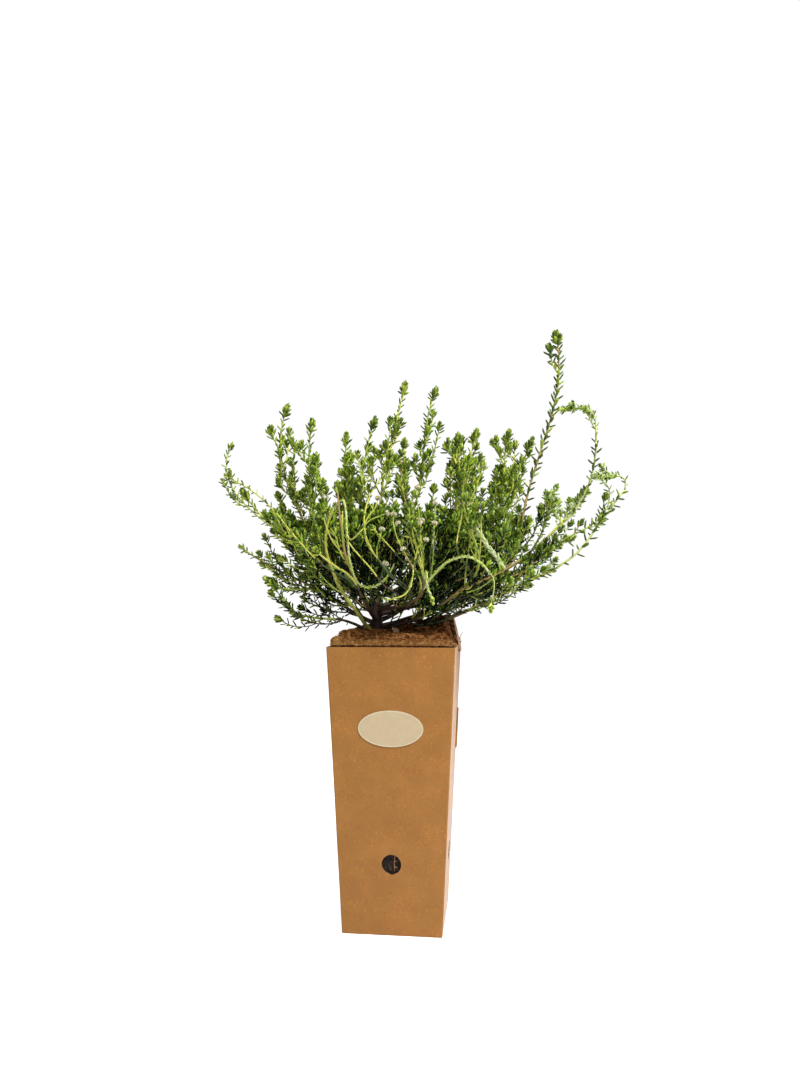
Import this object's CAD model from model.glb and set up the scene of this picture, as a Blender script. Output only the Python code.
import math

import bmesh
import bpy
import numpy as np
from mathutils import Matrix, Vector, noise


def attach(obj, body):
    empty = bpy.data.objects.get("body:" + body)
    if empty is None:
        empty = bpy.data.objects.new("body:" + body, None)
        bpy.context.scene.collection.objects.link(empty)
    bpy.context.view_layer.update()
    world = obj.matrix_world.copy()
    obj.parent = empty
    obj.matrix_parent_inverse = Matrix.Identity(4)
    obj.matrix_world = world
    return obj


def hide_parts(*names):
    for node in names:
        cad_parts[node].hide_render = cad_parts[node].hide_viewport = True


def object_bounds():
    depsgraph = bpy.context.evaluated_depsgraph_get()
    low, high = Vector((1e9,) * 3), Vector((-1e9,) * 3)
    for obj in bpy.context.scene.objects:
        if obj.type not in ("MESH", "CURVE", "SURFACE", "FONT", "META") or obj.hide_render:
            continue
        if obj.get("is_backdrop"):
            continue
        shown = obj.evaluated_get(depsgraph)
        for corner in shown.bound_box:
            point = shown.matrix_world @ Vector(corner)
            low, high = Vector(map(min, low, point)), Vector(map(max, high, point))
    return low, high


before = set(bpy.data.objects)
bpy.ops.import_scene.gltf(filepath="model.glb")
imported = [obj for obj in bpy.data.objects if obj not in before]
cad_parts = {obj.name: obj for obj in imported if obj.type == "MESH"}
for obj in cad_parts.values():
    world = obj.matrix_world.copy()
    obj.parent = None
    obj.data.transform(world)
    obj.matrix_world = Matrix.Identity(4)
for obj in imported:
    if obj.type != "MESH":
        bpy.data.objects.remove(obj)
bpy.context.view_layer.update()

# The photograph was taken close by, from a little above the rim and slightly to the right,
# with the camera tipped up by a few degrees.
CAMERA_PLACE, CAMERA_WAY = (0.1073, -0.8956, 0.3395), (-0.116, 0.990, 0.080)
LENS, SENSOR = 27.43, 36

photo_view = bpy.data.cameras.new("photo_view")
photo_view.sensor_width = SENSOR
photo_view.lens = LENS
camera = bpy.data.objects.new("photo_view", photo_view)
camera.location = CAMERA_PLACE
camera.rotation_euler = Vector(CAMERA_WAY).to_track_quat("-Z", "Y").to_euler()
bpy.context.collection.objects.link(camera)
bpy.context.scene.camera = camera

# A white studio: a pale matt floor, a white surround that fills the shadows only weakly, a
# soft light from the upper right in front, which leaves the inside of the crown dark, and a
# second one from behind on the right, which lights the carton's right wall.
KEY_PLACE, KEY_SIZE, KEY_POWER = (0.75, -0.9, 2.0), 0.45, 60
SIDE_PLACE, SIDE_SIZE, SIDE_POWER = (1.5, 0.9, 0.9), 0.7, 17
LIT_SPOT = (0, 0, 0.35)
SURROUND_LIGHT, SURROUND_SEEN = 0.22, 1.02
FLOOR_COLOUR, FLOOR_GLOW, FLOOR_REACH = "f4f4f2", 0.9, 12
WHITE = (1, 1, 1, 1)


def from_hex(code):
    """A linear colour from an sRGB hex value."""
    parts = [int(code[i : i + 2], 16) / 255 for i in (0, 2, 4)]
    return [c / 12.92 if c <= 0.04045 else ((c + 0.055) / 1.055) ** 2.4 for c in parts] + [1]


def add_node(tree, kind, inputs=None, **settings):
    """Adds a node: inputs are values or the outputs that feed them."""
    made = tree.nodes.new(kind)
    for name, value in settings.items():
        setattr(made, name, value)
    for name, value in (inputs or {}).items():
        if isinstance(value, bpy.types.NodeSocket):
            tree.links.new(value, made.inputs[name])
        else:
            made.inputs[name].default_value = value
    return made


def new_material(name):
    """A material with its node tree and its shader."""
    material = bpy.data.materials.new(name)
    material.use_nodes = True
    return material, material.node_tree, material.node_tree.nodes["Principled BSDF"]


def set_sockets(shader, **values):
    """Sets the shader's even values on its own sockets."""
    for name, value in values.items():
        shader.inputs[name.replace("_", " ")].default_value = value


def new_piece(name, shape, *materials):
    """A finished piece at the origin, with its place in its mesh."""
    mesh = shape
    if isinstance(shape, bmesh.types.BMesh):
        mesh = bpy.data.meshes.new(name)
        shape.to_mesh(mesh)
        shape.free()
    mesh.name = name
    piece = bpy.data.objects.new(name, mesh)
    for material in materials:
        mesh.materials.append(material)
    bpy.context.collection.objects.link(piece)
    return piece


floor_matt, tree, shader = new_material("studio_floor")
set_sockets(shader, Base_Color=from_hex(FLOOR_COLOUR), Roughness=0.9, Emission_Color=WHITE)
seen = add_node(tree, "ShaderNodeLightPath").outputs["Is Camera Ray"]
glow = add_node(tree, "ShaderNodeMath", {0: seen, 1: FLOOR_GLOW}, operation="MULTIPLY")
tree.links.new(glow.outputs[0], shader.inputs["Emission Strength"])
shape = bmesh.new()
bmesh.ops.create_circle(shape, cap_ends=True, radius=FLOOR_REACH, segments=96)
new_piece("studio_floor", shape, floor_matt)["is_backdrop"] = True

surround = bpy.data.worlds.new("white_surround")
surround.use_nodes = True
tree, backdrop = surround.node_tree, surround.node_tree.nodes["Background"]
seen = add_node(tree, "ShaderNodeLightPath").outputs["Is Camera Ray"]
levels = {0: seen, 1: SURROUND_SEEN - SURROUND_LIGHT, 2: SURROUND_LIGHT}
strength = add_node(tree, "ShaderNodeMath", levels, operation="MULTIPLY_ADD")
set_sockets(backdrop, Color=WHITE)
tree.links.new(strength.outputs[0], backdrop.inputs["Strength"])
bpy.context.scene.world = surround
bpy.context.scene.view_settings.view_transform = "Standard"

for name, spot, size, power in (
    ("key_light", KEY_PLACE, KEY_SIZE, KEY_POWER),
    ("side_light", SIDE_PLACE, SIDE_SIZE, SIDE_POWER),
):
    lamp = bpy.data.lights.new(name, "AREA")
    lamp.size = size
    lamp.energy = power
    light = bpy.data.objects.new(name, lamp)
    light.location = spot
    light.rotation_euler = (Vector(LIT_SPOT) - light.location).to_track_quat("-Z", "Y").to_euler()
    bpy.context.collection.objects.link(light)

# The pot is a folded kraft carton of single-wall corrugated board: square, tapered, with
# rounded folds, an open top whose cut edge shows, and a round air hole punched in each wall.
CARTON_HEIGHT, CARTON_TOP, CARTON_BOTTOM = 0.290, 0.1334, 0.1026
BOARD, FOLD, FOOT_FOLD = 0.003, 0.0016, 0.0008
HOLE_ACROSS, HOLE_HEIGHT = 0.020, 0.071
KRAFT_DEEP, KRAFT, KRAFT_LIGHT = "b97c33", "bd8136", "c3883c"
FIBRE_DARK, FIBRE_NONE, FIBRE_PALE = "7a4a26", "808080", "c9a274"
FLECK_BARK, FLECK_PALE = "6b4120", "dcb98e"
CUT_DARK, CUT_EDGE, CUT_PALE = "3c2413", "6f4324", "9a6a3e"


def half_width(z):
    """Half the carton's outer width at a height."""
    return (CARTON_BOTTOM + (CARTON_TOP - CARTON_BOTTOM) * z / CARTON_HEIGHT) / 2


def set_ramp(ramp, *stops):
    """Sets a colour ramp's stops, each a place and a hex colour."""
    while len(ramp.elements) < len(stops):
        ramp.elements.new(0.5)
    for element, (place, colour) in zip(ramp.elements, stops):
        element.position = place
        element.color = from_hex(colour)


# Kraft liner: unbleached paper, matt, blotched over a few centimetres, with short darker
# and lighter fibres, and a faint washboard from the flutes 4 mm apart behind it
kraft, tree, shader = new_material("kraft_liner")
where = add_node(tree, "ShaderNodeTexCoord").outputs["Object"]
blotches = add_node(tree, "ShaderNodeTexNoise", {"Vector": where, "Scale": 46, "Detail": 6})
blotch_tone = add_node(tree, "ShaderNodeValToRGB", {"Fac": blotches.outputs["Fac"]})
set_ramp(blotch_tone.color_ramp, (0.3, KRAFT_DEEP), (0.52, KRAFT), (0.75, KRAFT_LIGHT))
fibres = add_node(tree, "ShaderNodeTexNoise", {"Vector": where, "Scale": 520, "Detail": 4})
fibre_tone = add_node(tree, "ShaderNodeValToRGB", {"Fac": fibres.outputs["Fac"]})
fibre_stops = (0.3, FIBRE_DARK), (0.42, FIBRE_NONE), (0.6, FIBRE_NONE), (0.72, FIBRE_PALE)
set_ramp(fibre_tone.color_ramp, *fibre_stops)
tones = {0: 0.6, 6: blotch_tone.outputs[0], 7: fibre_tone.outputs[0]}
speckled = add_node(tree, "ShaderNodeMix", tones, data_type="RGBA", blend_type="OVERLAY")
# Rare flecks, half a millimetre across: dark bark specks and pale fibre ends
cells = add_node(tree, "ShaderNodeTexVoronoi", {"Vector": where, "Scale": 215})
near = add_node(tree, "ShaderNodeMath", {0: cells.outputs["Distance"], 1: 0.12}, operation="LESS_THAN")
lot = add_node(tree, "ShaderNodeSeparateColor", {"Color": cells.outputs["Color"]})
chosen = add_node(tree, "ShaderNodeMath", {0: lot.outputs["Red"], 1: 0.6}, operation="GREATER_THAN")
shown = add_node(tree, "ShaderNodeMath", {0: near.outputs[0], 1: chosen.outputs[0]}, operation="MULTIPLY")
faint = add_node(tree, "ShaderNodeMath", {0: shown.outputs[0], 1: 0.25}, operation="MULTIPLY")
fleck_tone = add_node(tree, "ShaderNodeValToRGB", {"Fac": lot.outputs["Green"]})
set_ramp(fleck_tone.color_ramp, (0.6, FLECK_BARK), (0.65, FLECK_PALE))
tones = {0: faint.outputs[0], 6: speckled.outputs[2], 7: fleck_tone.outputs[0]}
flecked = add_node(tree, "ShaderNodeMix", tones, data_type="RGBA")
tree.links.new(flecked.outputs[2], shader.inputs["Base Color"])
waves = {"Vector": where, "Scale": 38, "Distortion": 0.6, "Detail": 1}
flutes = add_node(tree, "ShaderNodeTexWave", waves, bands_direction="DIAGONAL")
heights = {0: flutes.outputs["Fac"], 1: 0.25, 2: fibres.outputs["Fac"]}
relief = add_node(tree, "ShaderNodeMath", heights, operation="MULTIPLY_ADD")
bump = add_node(
    tree, "ShaderNodeBump", {"Height": relief.outputs[0], "Strength": 0.35, "Distance": 0.0003}
)
tree.links.new(bump.outputs[0], shader.inputs["Normal"])
set_sockets(shader, Roughness=0.6, IOR=1.45, Sheen_Weight=0.25, Sheen_Roughness=0.4)

# The board's cut edge: darker, where the flutes between the two liners show as short bars
cut_edge, tree, shader = new_material("board_cut_edge")
where = add_node(tree, "ShaderNodeTexCoord").outputs["Object"]
waves = {"Vector": where, "Scale": 75, "Distortion": 1.5}
bars = add_node(tree, "ShaderNodeTexWave", waves, bands_direction="DIAGONAL")
bar_tone = add_node(tree, "ShaderNodeValToRGB", {"Fac": bars.outputs["Fac"]})
set_ramp(bar_tone.color_ramp, (0.2, CUT_DARK), (0.6, CUT_EDGE), (0.9, CUT_PALE))
tree.links.new(bar_tone.outputs[0], shader.inputs["Base Color"])
set_sockets(shader, Roughness=0.9)


def disc(across, thick, sides):
    """A round disc that lies flat at the origin."""
    shape = bmesh.new()
    bmesh.ops.create_cone(
        shape, cap_ends=True, segments=sides, radius1=across / 2, radius2=across / 2, depth=thick
    )
    return shape


def lay(shape, turn, spot):
    """Turns a shape about the origin and then moves it to its spot."""
    bmesh.ops.rotate(shape, verts=shape.verts, matrix=turn)
    bmesh.ops.translate(shape, verts=shape.verts, vec=spot)


def corners_of(made):
    """The corners among what an operator made."""
    return [part for part in made if isinstance(part, bmesh.types.BMVert)]


def cut_with(piece, cutters, operation="DIFFERENCE"):
    """Joins the cutters to a piece, or cuts them from it, and keeps the result as its mesh."""
    for cutter in cutters:
        cut = piece.modifiers.new("cut", "BOOLEAN")
        cut.operation = operation
        cut.object = cutter
    bpy.context.view_layer.update()
    cut_piece = piece.evaluated_get(bpy.context.evaluated_depsgraph_get())
    result = bpy.data.meshes.new_from_object(cut_piece)
    piece.modifiers.clear()
    piece.data = result
    for cutter in cutters:
        bpy.data.objects.remove(cutter)


shape = bmesh.new()
bmesh.ops.create_cube(shape, size=1)
for corner in shape.verts:
    z = CARTON_HEIGHT if corner.co.z > 0 else 0
    half = half_width(z)
    corner.co = (math.copysign(half, corner.co.x), math.copysign(half, corner.co.y), z)
upright = [e for e in shape.edges if abs(e.verts[0].co.z - e.verts[1].co.z) > CARTON_HEIGHT / 2]
bmesh.ops.bevel(shape, geom=upright, offset=FOLD, affect="EDGES", segments=4, profile=0.5, material=-1)
low = [e for e in shape.edges if max(v.co.z for v in e.verts) < 1e-6 and len(e.link_faces) == 2]
bmesh.ops.bevel(shape, geom=low, offset=FOOT_FOLD, affect="EDGES", segments=2, profile=0.5, material=-1)
mouth = [f for f in shape.faces if f.calc_center_median().z > CARTON_HEIGHT - 1e-6]
rim = bmesh.ops.inset_region(shape, faces=mouth, thickness=BOARD, use_even_offset=True)["faces"]
for face in rim:
    face.material_index = 1
sunk = bmesh.ops.extrude_face_region(shape, geom=mouth)["geom"]
bmesh.ops.delete(shape, geom=mouth, context="FACES_ONLY")
shrink = (half_width(BOARD) - BOARD) / (half_width(CARTON_HEIGHT) - BOARD)
for corner in corners_of(sunk):
    corner.co = (corner.co.x * shrink, corner.co.y * shrink, BOARD)
bmesh.ops.recalc_face_normals(shape, faces=shape.faces)
carton_board = new_piece("carton_board", shape, kraft, cut_edge)
bores = []
for axis in ("X", "Y"):
    shape = disc(HOLE_ACROSS, CARTON_TOP * 2, 56)
    lay(shape, Matrix.Rotation(math.pi / 2, 3, axis), (0, 0, HOLE_HEIGHT))
    for face in shape.faces:
        face.material_index = 1
    bores.append(new_piece("bore", shape, kraft, cut_edge))
cut_with(carton_board, bores)
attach(carton_board, "root")
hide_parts("carton")

# The carton's hanging ear: the right wall's lap goes on above the rim as a rounded tab that
# leans in over the mat, with a punched eye.
EAR_WIDE, EAR_HIGH, EAR_SUNK, EAR_MIDDLE, EAR_LEAN = 0.040, 0.031, 0.008, 0.024, 12
EYE_ACROSS, EYE_DROP = 0.009, 0.013

round_top = EAR_HIGH - EAR_WIDE / 2
shape = disc(EAR_WIDE, BOARD, 64)
bmesh.ops.translate(shape, verts=shape.verts, vec=(0, round_top, 0))
carton_ear = new_piece("carton_ear", shape, kraft, cut_edge)
shape = bmesh.new()
bmesh.ops.create_cube(shape, size=1)
straight = round_top + EAR_SUNK
bmesh.ops.scale(shape, verts=shape.verts, vec=(EAR_WIDE, straight, BOARD))
bmesh.ops.translate(shape, verts=shape.verts, vec=(0, straight / 2 - EAR_SUNK, 0))
cut_with(carton_ear, [new_piece("ear_foot", shape, kraft, cut_edge)], "UNION")
shape = disc(EYE_ACROSS, BOARD * 4, 32)
bmesh.ops.translate(shape, verts=shape.verts, vec=(0, EAR_HIGH - EYE_DROP, 0))
cut_with(carton_ear, [new_piece("eye_punch", shape, kraft, cut_edge)])
shape = bmesh.new()
shape.from_mesh(carton_ear.data)
for face in shape.faces:
    face.material_index = 0 if abs(face.normal.z) > 0.5 else 1
# The outline stands up, with its thickness towards the inside of the carton
stand = Matrix.Rotation(math.radians(-EAR_LEAN), 3, "Y") @ Matrix.Rotation(math.pi / 2, 3, "Z")
stand = stand @ Matrix.Rotation(math.pi / 2, 3, "X")
bmesh.ops.translate(shape, verts=shape.verts, vec=(0, 0, -BOARD / 2))
lay(shape, stand, (half_width(CARTON_HEIGHT), EAR_MIDDLE, CARTON_HEIGHT))
shape.to_mesh(carton_ear.data)
shape.free()
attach(carton_ear, "root")
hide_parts("carton")

# The tab that locks the right wall's lap: a tongue of the same board pushed through a slot,
# so it stands a little proud, with a dark cut round it.
TAB_HIGH, TAB_WIDE, TAB_PROUD, TAB_SUNK, TAB_ROUNDED = 0.043, 0.013, 0.0017, 0.0012, 0.0002
TAB_MIDDLE, TAB_HEIGHT = 0.045, 0.194
SLOT_WIDER, SLOT_PROUD = 0.0012, 0.0003
WALL_SLOPE = math.atan((CARTON_TOP - CARTON_BOTTOM) / 2 / CARTON_HEIGHT)

for name, wider, proud, material in (
    ("lock_tab", 0, TAB_PROUD, kraft),
    ("lock_slot", SLOT_WIDER, SLOT_PROUD, cut_edge),
):
    shape = bmesh.new()
    bmesh.ops.create_cube(shape, size=1)
    thick = proud + TAB_SUNK
    bmesh.ops.scale(shape, verts=shape.verts, vec=(thick, TAB_WIDE + wider, TAB_HIGH + wider))
    bmesh.ops.bevel(
        shape, geom=shape.edges, offset=TAB_ROUNDED, affect="EDGES", segments=2, profile=0.5, material=-1
    )
    tab_x = half_width(TAB_HEIGHT) + proud - thick / 2
    lay(shape, Matrix.Rotation(WALL_SLOPE, 3, "Y"), (tab_x, TAB_MIDDLE, TAB_HEIGHT))
    tab = new_piece(name, shape, material)
    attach(tab, "root")
    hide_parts("carton")

# The label: an oval of smooth cream paper glued on the front wall, bare inside a slightly
# paler margin.
LABEL_WIDE, LABEL_HIGH, LABEL_HEIGHT, LABEL_MARGIN = 0.067, 0.037, 0.2077, 0.0012
LABEL_THICK, GLUE = 0.0005, 0.0002


def mottled(name, scale, detail, *stops, relief=None, **even):
    """A material mottled by one noise: its stops of colour, the strength and depth of its
    relief, and the values that are the same all over."""
    material, tree, shader = new_material(name)
    where = add_node(tree, "ShaderNodeTexCoord").outputs["Object"]
    mottle = add_node(tree, "ShaderNodeTexNoise", {"Vector": where, "Scale": scale, "Detail": detail})
    if stops:
        tone = add_node(tree, "ShaderNodeValToRGB", {"Fac": mottle.outputs["Fac"]})
        set_ramp(tone.color_ramp, *stops)
        tree.links.new(tone.outputs[0], shader.inputs["Base Color"])
    if relief:
        rise = {"Height": mottle.outputs["Fac"], "Strength": relief[0], "Distance": relief[1]}
        tree.links.new(add_node(tree, "ShaderNodeBump", rise).outputs[0], shader.inputs["Normal"])
    set_sockets(shader, **even)
    return material


# Label paper: smooth, cream, a little mottled, with a slight sheen
label_paper = mottled("cream_label_paper", 160, 5, (0.3, "c0ac89"), (0.7, "c7b390"), Roughness=0.5)
label_margin = mottled("label_margin", 160, 5, (0.3, "ccbc9a"), (0.7, "d3c4a3"), Roughness=0.5)

shape = bmesh.new()
bmesh.ops.create_circle(shape, cap_ends=True, radius=0.5, segments=96)
bmesh.ops.scale(shape, verts=shape.verts, vec=(LABEL_WIDE, LABEL_HIGH, 1))
raised = bmesh.ops.extrude_face_region(shape, geom=shape.faces[:])["geom"]
bmesh.ops.translate(shape, verts=corners_of(raised), vec=(0, 0, LABEL_THICK))
top = [part for part in raised if isinstance(part, bmesh.types.BMFace)]
for face in bmesh.ops.inset_region(shape, faces=top, thickness=LABEL_MARGIN)["faces"]:
    face.material_index = 1
bmesh.ops.recalc_face_normals(shape, faces=shape.faces)
upright = Matrix.Rotation(math.pi / 2 + WALL_SLOPE, 3, "X")
lay(shape, upright, (0, -half_width(LABEL_HEIGHT) - GLUE, LABEL_HEIGHT))
oval_label = new_piece("label_oval", shape, label_paper, label_margin)
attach(oval_label, "root")
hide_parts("oval_label")

# Potting soil, which shows only through the air holes: the CAD block stays, in a dark peaty
# soil, and loose crumbs and one pale root with its rootlets lie behind the front hole.
SOIL_TOP, SOIL_DARK, SOIL_MID, SOIL_LIGHT = 0.284, "120b07", "2c1c12", "5b3f2a"
ROOT_TAN, ROOT_IVORY = "8a5f45", "c09a78"

# Moist peat and bark fines: nearly black, crumbly at 1 to 3 mm, with browner specks
soil_stops = (0.4, SOIL_DARK), (0.58, SOIL_MID), (0.72, SOIL_LIGHT)
soil = mottled("moist_potting_soil", 420, 8, *soil_stops, relief=(1, 0.003), Roughness=0.85)
soil_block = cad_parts["soil_block"]
soil_block.data.materials.clear()
soil_block.data.materials.append(soil)

# Living root: smooth pale bark, ivory to tan along its length
root_bark = mottled("pale_root_bark", 300, 4, (0.35, ROOT_TAN), (0.65, ROOT_IVORY), Roughness=0.6)


def ring_frames(points):
    """Two directions across the path at each point, carried along it without a twist."""
    points = np.asarray(points, float)
    tangents = np.gradient(points, axis=0)
    tangents /= np.linalg.norm(tangents, axis=1)[:, None]
    across = np.cross(tangents[0], (0.6, 0.5, 0.62))
    firsts = []
    for tangent in tangents:
        across = across - tangent * (across @ tangent)
        across /= np.linalg.norm(across)
        firsts.append(across)
    firsts = np.array(firsts)
    return firsts, np.cross(tangents, firsts)


def sweep(shape, points, radius_at, sides):
    """A closed limb: a capped circle extruded ring by ring along the points."""
    firsts, seconds = ring_frames(points)
    points = np.asarray(points, float)
    ring = bmesh.ops.create_circle(shape, cap_ends=True, radius=1, segments=sides)["verts"]
    angles = {vert: math.atan2(vert.co.y, vert.co.x) for vert in ring}
    edges = list({edge for vert in ring for edge in vert.link_edges})
    for i, point in enumerate(points):
        if i:
            before = dict(zip([tuple(v.co) for v in angles], angles.values()))
            grown = bmesh.ops.extrude_edge_only(shape, edges=edges)["geom"]
            edges = [part for part in grown if isinstance(part, bmesh.types.BMEdge)]
            angles = {corner: before[tuple(corner.co)] for corner in corners_of(grown)}
        for vert, angle in angles.items():
            radius = radius_at(i / (len(points) - 1), angle)
            way = math.cos(angle) * firsts[i] + math.sin(angle) * seconds[i]
            vert.co = point + radius * way
    bmesh.ops.edgeloop_fill(shape, edges=edges)


def curved(points, count):
    """Points evenly spaced on a smooth line through a few points."""
    points = np.asarray(points, float)
    places = np.linspace(0, len(points) - 1, count)
    out = []
    for share in places:
        i = min(int(share), len(points) - 2)
        t = share - i
        p = [points[max(0, min(len(points) - 1, i + k))] for k in (-1, 0, 1, 2)]
        square = (2 * p[0] - 5 * p[1] + 4 * p[2] - p[3]) * t * t
        cube = (3 * p[1] - p[0] - 3 * p[2] + p[3]) * t**3
        out.append(0.5 * (2 * p[1] + (p[2] - p[0]) * t + square + cube))
    return np.array(out)


def thinning(thick, lost):
    """A round limb's radius in metres: its thickness at the foot and the share lost at the tip."""

    def radius(share, angle):
        return thick * (1 - lost * share)

    return radius


# Each root: its points in millimetres from the front hole's middle, and its radius in metres
ROOTS = (
    ([(3.6, 0.2, 8), (2.9, -0.9, 4), (2.6, -0.8, 0), (3.0, -1.1, -4), (2.7, -0.4, -7)], 0.0004),
    ([(2.8, -0.8, 2.2), (4.6, -1.2, 3.3), (6.6, -0.4, 3.1)], 0.00028),
    ([(2.8, -1.1, -1.6), (4.2, -1.3, -2.8), (5.8, -0.2, -3.4)], 0.00028),
)
shape = bmesh.new()
wall_inside = -half_width(HOLE_HEIGHT) + BOARD
for line, thick in ROOTS:
    path = curved([(x / 1000, wall_inside + y / 1000, HOLE_HEIGHT + z / 1000) for x, y, z in line], 24)
    sweep(shape, path, thinning(thick, 0.5), 8)
bmesh.ops.recalc_face_normals(shape, faces=shape.faces)
pale_root = new_piece("pale_root", shape, root_bark)
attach(pale_root, "root")

CRUMBS, CRUMB_SMALL, CRUMB_LARGE, CRUMB_ROUGH = 90, 0.0004, 0.0011, 0.0003
CRUMB_REACH, CRUMB_SINK = 0.0095, 0.0001
WALLS = (Vector((0, -1, 0)), Vector((1, 0, 0)), Vector((0, 1, 0)), Vector((-1, 0, 0)))
# Blender's noise starts from the clock unless it is given a seed
noise.seed_set(1)
draw = np.random.default_rng(11)
shape = bmesh.new()
for k in range(CRUMBS):
    round_it = draw.uniform(CRUMB_SMALL, CRUMB_LARGE)
    lump = bmesh.ops.create_icosphere(shape, subdivisions=1, radius=round_it)
    wall = WALLS[k % 4]
    side = Vector((-wall.y, wall.x, 0))
    angle, reach = draw.uniform(0, 2 * math.pi), CRUMB_REACH * math.sqrt(draw.uniform())
    spot = wall * (half_width(HOLE_HEIGHT) - BOARD - CRUMB_SINK) + side * reach * math.cos(angle)
    spot.z = HOLE_HEIGHT + reach * math.sin(angle)
    bmesh.ops.translate(shape, verts=lump["verts"], vec=spot)
for corner in shape.verts:
    corner.co += noise.noise_vector(corner.co * 900) * CRUMB_ROUGH
soil_crumbs = new_piece("soil_crumbs", shape, soil)
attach(soil_crumbs, "root")

# The mat: a pad of felted coconut fibre tucked in over the soil, lumpy, higher at the back
# right where it leans on the ear, with loose fibres standing out of it.
MAT_LEVEL, MAT_LOW, MAT_FALL, MAT_ROUGH, MAT_CELLS = 0.300, 0.2915, 0.84, 0.0022, 70
MAT_CLEAR, SOIL_CLEAR = 0.0004, 0.0005
COIR_GAP, COIR_DARK, COIR_MID, COIR_LIGHT = "3c1e0f", "4c260f", "835027", "bb8c52"
half_mat = half_width(CARTON_HEIGHT) - BOARD - MAT_CLEAR


def smoothstep(value, low, high):
    """A smooth climb from 0 to 1 between two values."""
    share = min(max((value - low) / (high - low), 0), 1)
    return share * share * (3 - 2 * share)


def mat_top(x, y):
    """Height of the mat's top at a place, all in metres, as the source lays it."""
    x, y = x * 1000, y * 1000
    back = 8 * smoothstep(y, -60, 30)
    right = 11 * smoothstep(x, 5, 60) * smoothstep(y, -45, 25)
    left = -5 * smoothstep(-x, 30, 62)
    fold = 7 * (1 - smoothstep(math.hypot(x + 50, y + 48), 5, 26))
    lumps = 1.3 * math.sin(x / 9 + 1) * math.cos(y / 8) + 0.9 * math.sin(x / 4.6 - y / 5.2)
    return MAT_LEVEL + (back + right + left + fold + lumps) / 1000


def mat_at(x, y, edge=None):
    """The mat's height at a place, and how far it has dropped there towards its edge. Edge is
    the place's share of the way from the middle to the edge."""
    edge = max(abs(x), abs(y)) / half_mat if edge is None else edge
    drop = smoothstep(edge, MAT_FALL, 1)
    return mat_top(x, y) * (1 - drop) + MAT_LOW * drop, drop


# Coir felt: dull brown fibres, straw-coloured where they stand up, nearly black in the gaps
coir = mottled(
    "coir_felt", 110, 8, (0.34, COIR_GAP), (0.5, COIR_DARK), (0.68, COIR_MID),
    relief=(0.9, 0.003), Roughness=0.95, Specular_IOR_Level=0.15,
)

shape = bmesh.new()
bmesh.ops.create_grid(shape, x_segments=MAT_CELLS, y_segments=MAT_CELLS, size=1)
for corner in shape.verts:
    across, along_it = corner.co.x, corner.co.y
    pull = 1 - 0.1 * abs(across * along_it) ** 4
    x, y = across * pull * half_mat, along_it * pull * half_mat
    z, drop = mat_at(x, y, max(abs(across), abs(along_it)))
    rough = noise.fractal(Vector((x, y, 0.3)) * 130, 0.7, 2.1, 5) * MAT_ROUGH
    corner.co = (x, y, z + rough * (1 - 0.7 * drop))
border = [e for e in shape.edges if len(e.link_faces) == 1]
for corner in corners_of(bmesh.ops.extrude_edge_only(shape, edges=border)["geom"]):
    corner.co.z = SOIL_TOP + SOIL_CLEAR
bmesh.ops.edgeloop_fill(shape, edges=[e for e in shape.edges if len(e.link_faces) == 1])
bmesh.ops.recalc_face_normals(shape, faces=shape.faces)
mat_pad = new_piece("coir_pad", shape, coir)
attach(mat_pad, "root")
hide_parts("coir_mat")


def tubes(paths, radii, sides):
    """Many thin closed tubes as one mesh: paths (tubes, rings, 3), radii (tubes, rings)."""
    paths, radii = np.asarray(paths, float), np.asarray(radii, float)
    count, rings, _ = paths.shape
    tangents = np.gradient(paths, axis=1)
    tangents /= np.linalg.norm(tangents, axis=2)[..., None] + 1e-12
    across = np.empty_like(paths)
    carried = np.cross(tangents[:, 0], (0.6, 0.5, 0.62))
    for ring in range(rings):
        along = tangents[:, ring]
        carried = carried - along * (carried * along).sum(1)[:, None]
        carried /= np.linalg.norm(carried, axis=1)[:, None] + 1e-12
        across[:, ring] = carried
    other = np.cross(tangents, across)
    turns = 2 * np.pi * np.arange(sides) / sides
    corners = (
        paths[:, :, None]
        + radii[:, :, None, None] * across[:, :, None] * np.cos(turns)[:, None]
        + radii[:, :, None, None] * other[:, :, None] * np.sin(turns)[:, None]
    )
    faces = []
    for ring in range(rings - 1):
        for side in range(sides):
            a, b = ring * sides + side, ring * sides + (side + 1) % sides
            faces += [(a, b, b + sides), (a, b + sides, a + sides)]
    for side in range(1, sides - 1):
        last = (rings - 1) * sides
        faces += [(0, side + 1, side), (last, last + side, last + side + 1)]
    offsets = np.arange(count)[:, None, None] * rings * sides
    return corners.reshape(-1, 3), (offsets + np.array(faces)).reshape(-1, 3)


def joined_mesh(name, corners, faces, tones=None, smooth=False):
    """A mesh from arrays of corners and triangles, with a material number for each face."""
    mesh = bpy.data.meshes.new(name)
    mesh.vertices.add(len(corners))
    mesh.vertices.foreach_set("co", np.asarray(corners, np.float32).ravel())
    mesh.loops.add(len(faces) * 3)
    mesh.loops.foreach_set("vertex_index", np.asarray(faces, np.int32).ravel())
    mesh.polygons.add(len(faces))
    mesh.polygons.foreach_set("loop_start", np.arange(len(faces), dtype=np.int32) * 3)
    if tones is not None:
        mesh.polygons.foreach_set("material_index", np.asarray(tones, np.int32))
    mesh.polygons.foreach_set("use_smooth", np.full(len(faces), smooth))
    mesh.update(calc_edges=True)
    return mesh


def within_walls(value):
    """The value kept between the carton's walls."""
    return min(max(value, -half_mat), half_mat)


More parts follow.
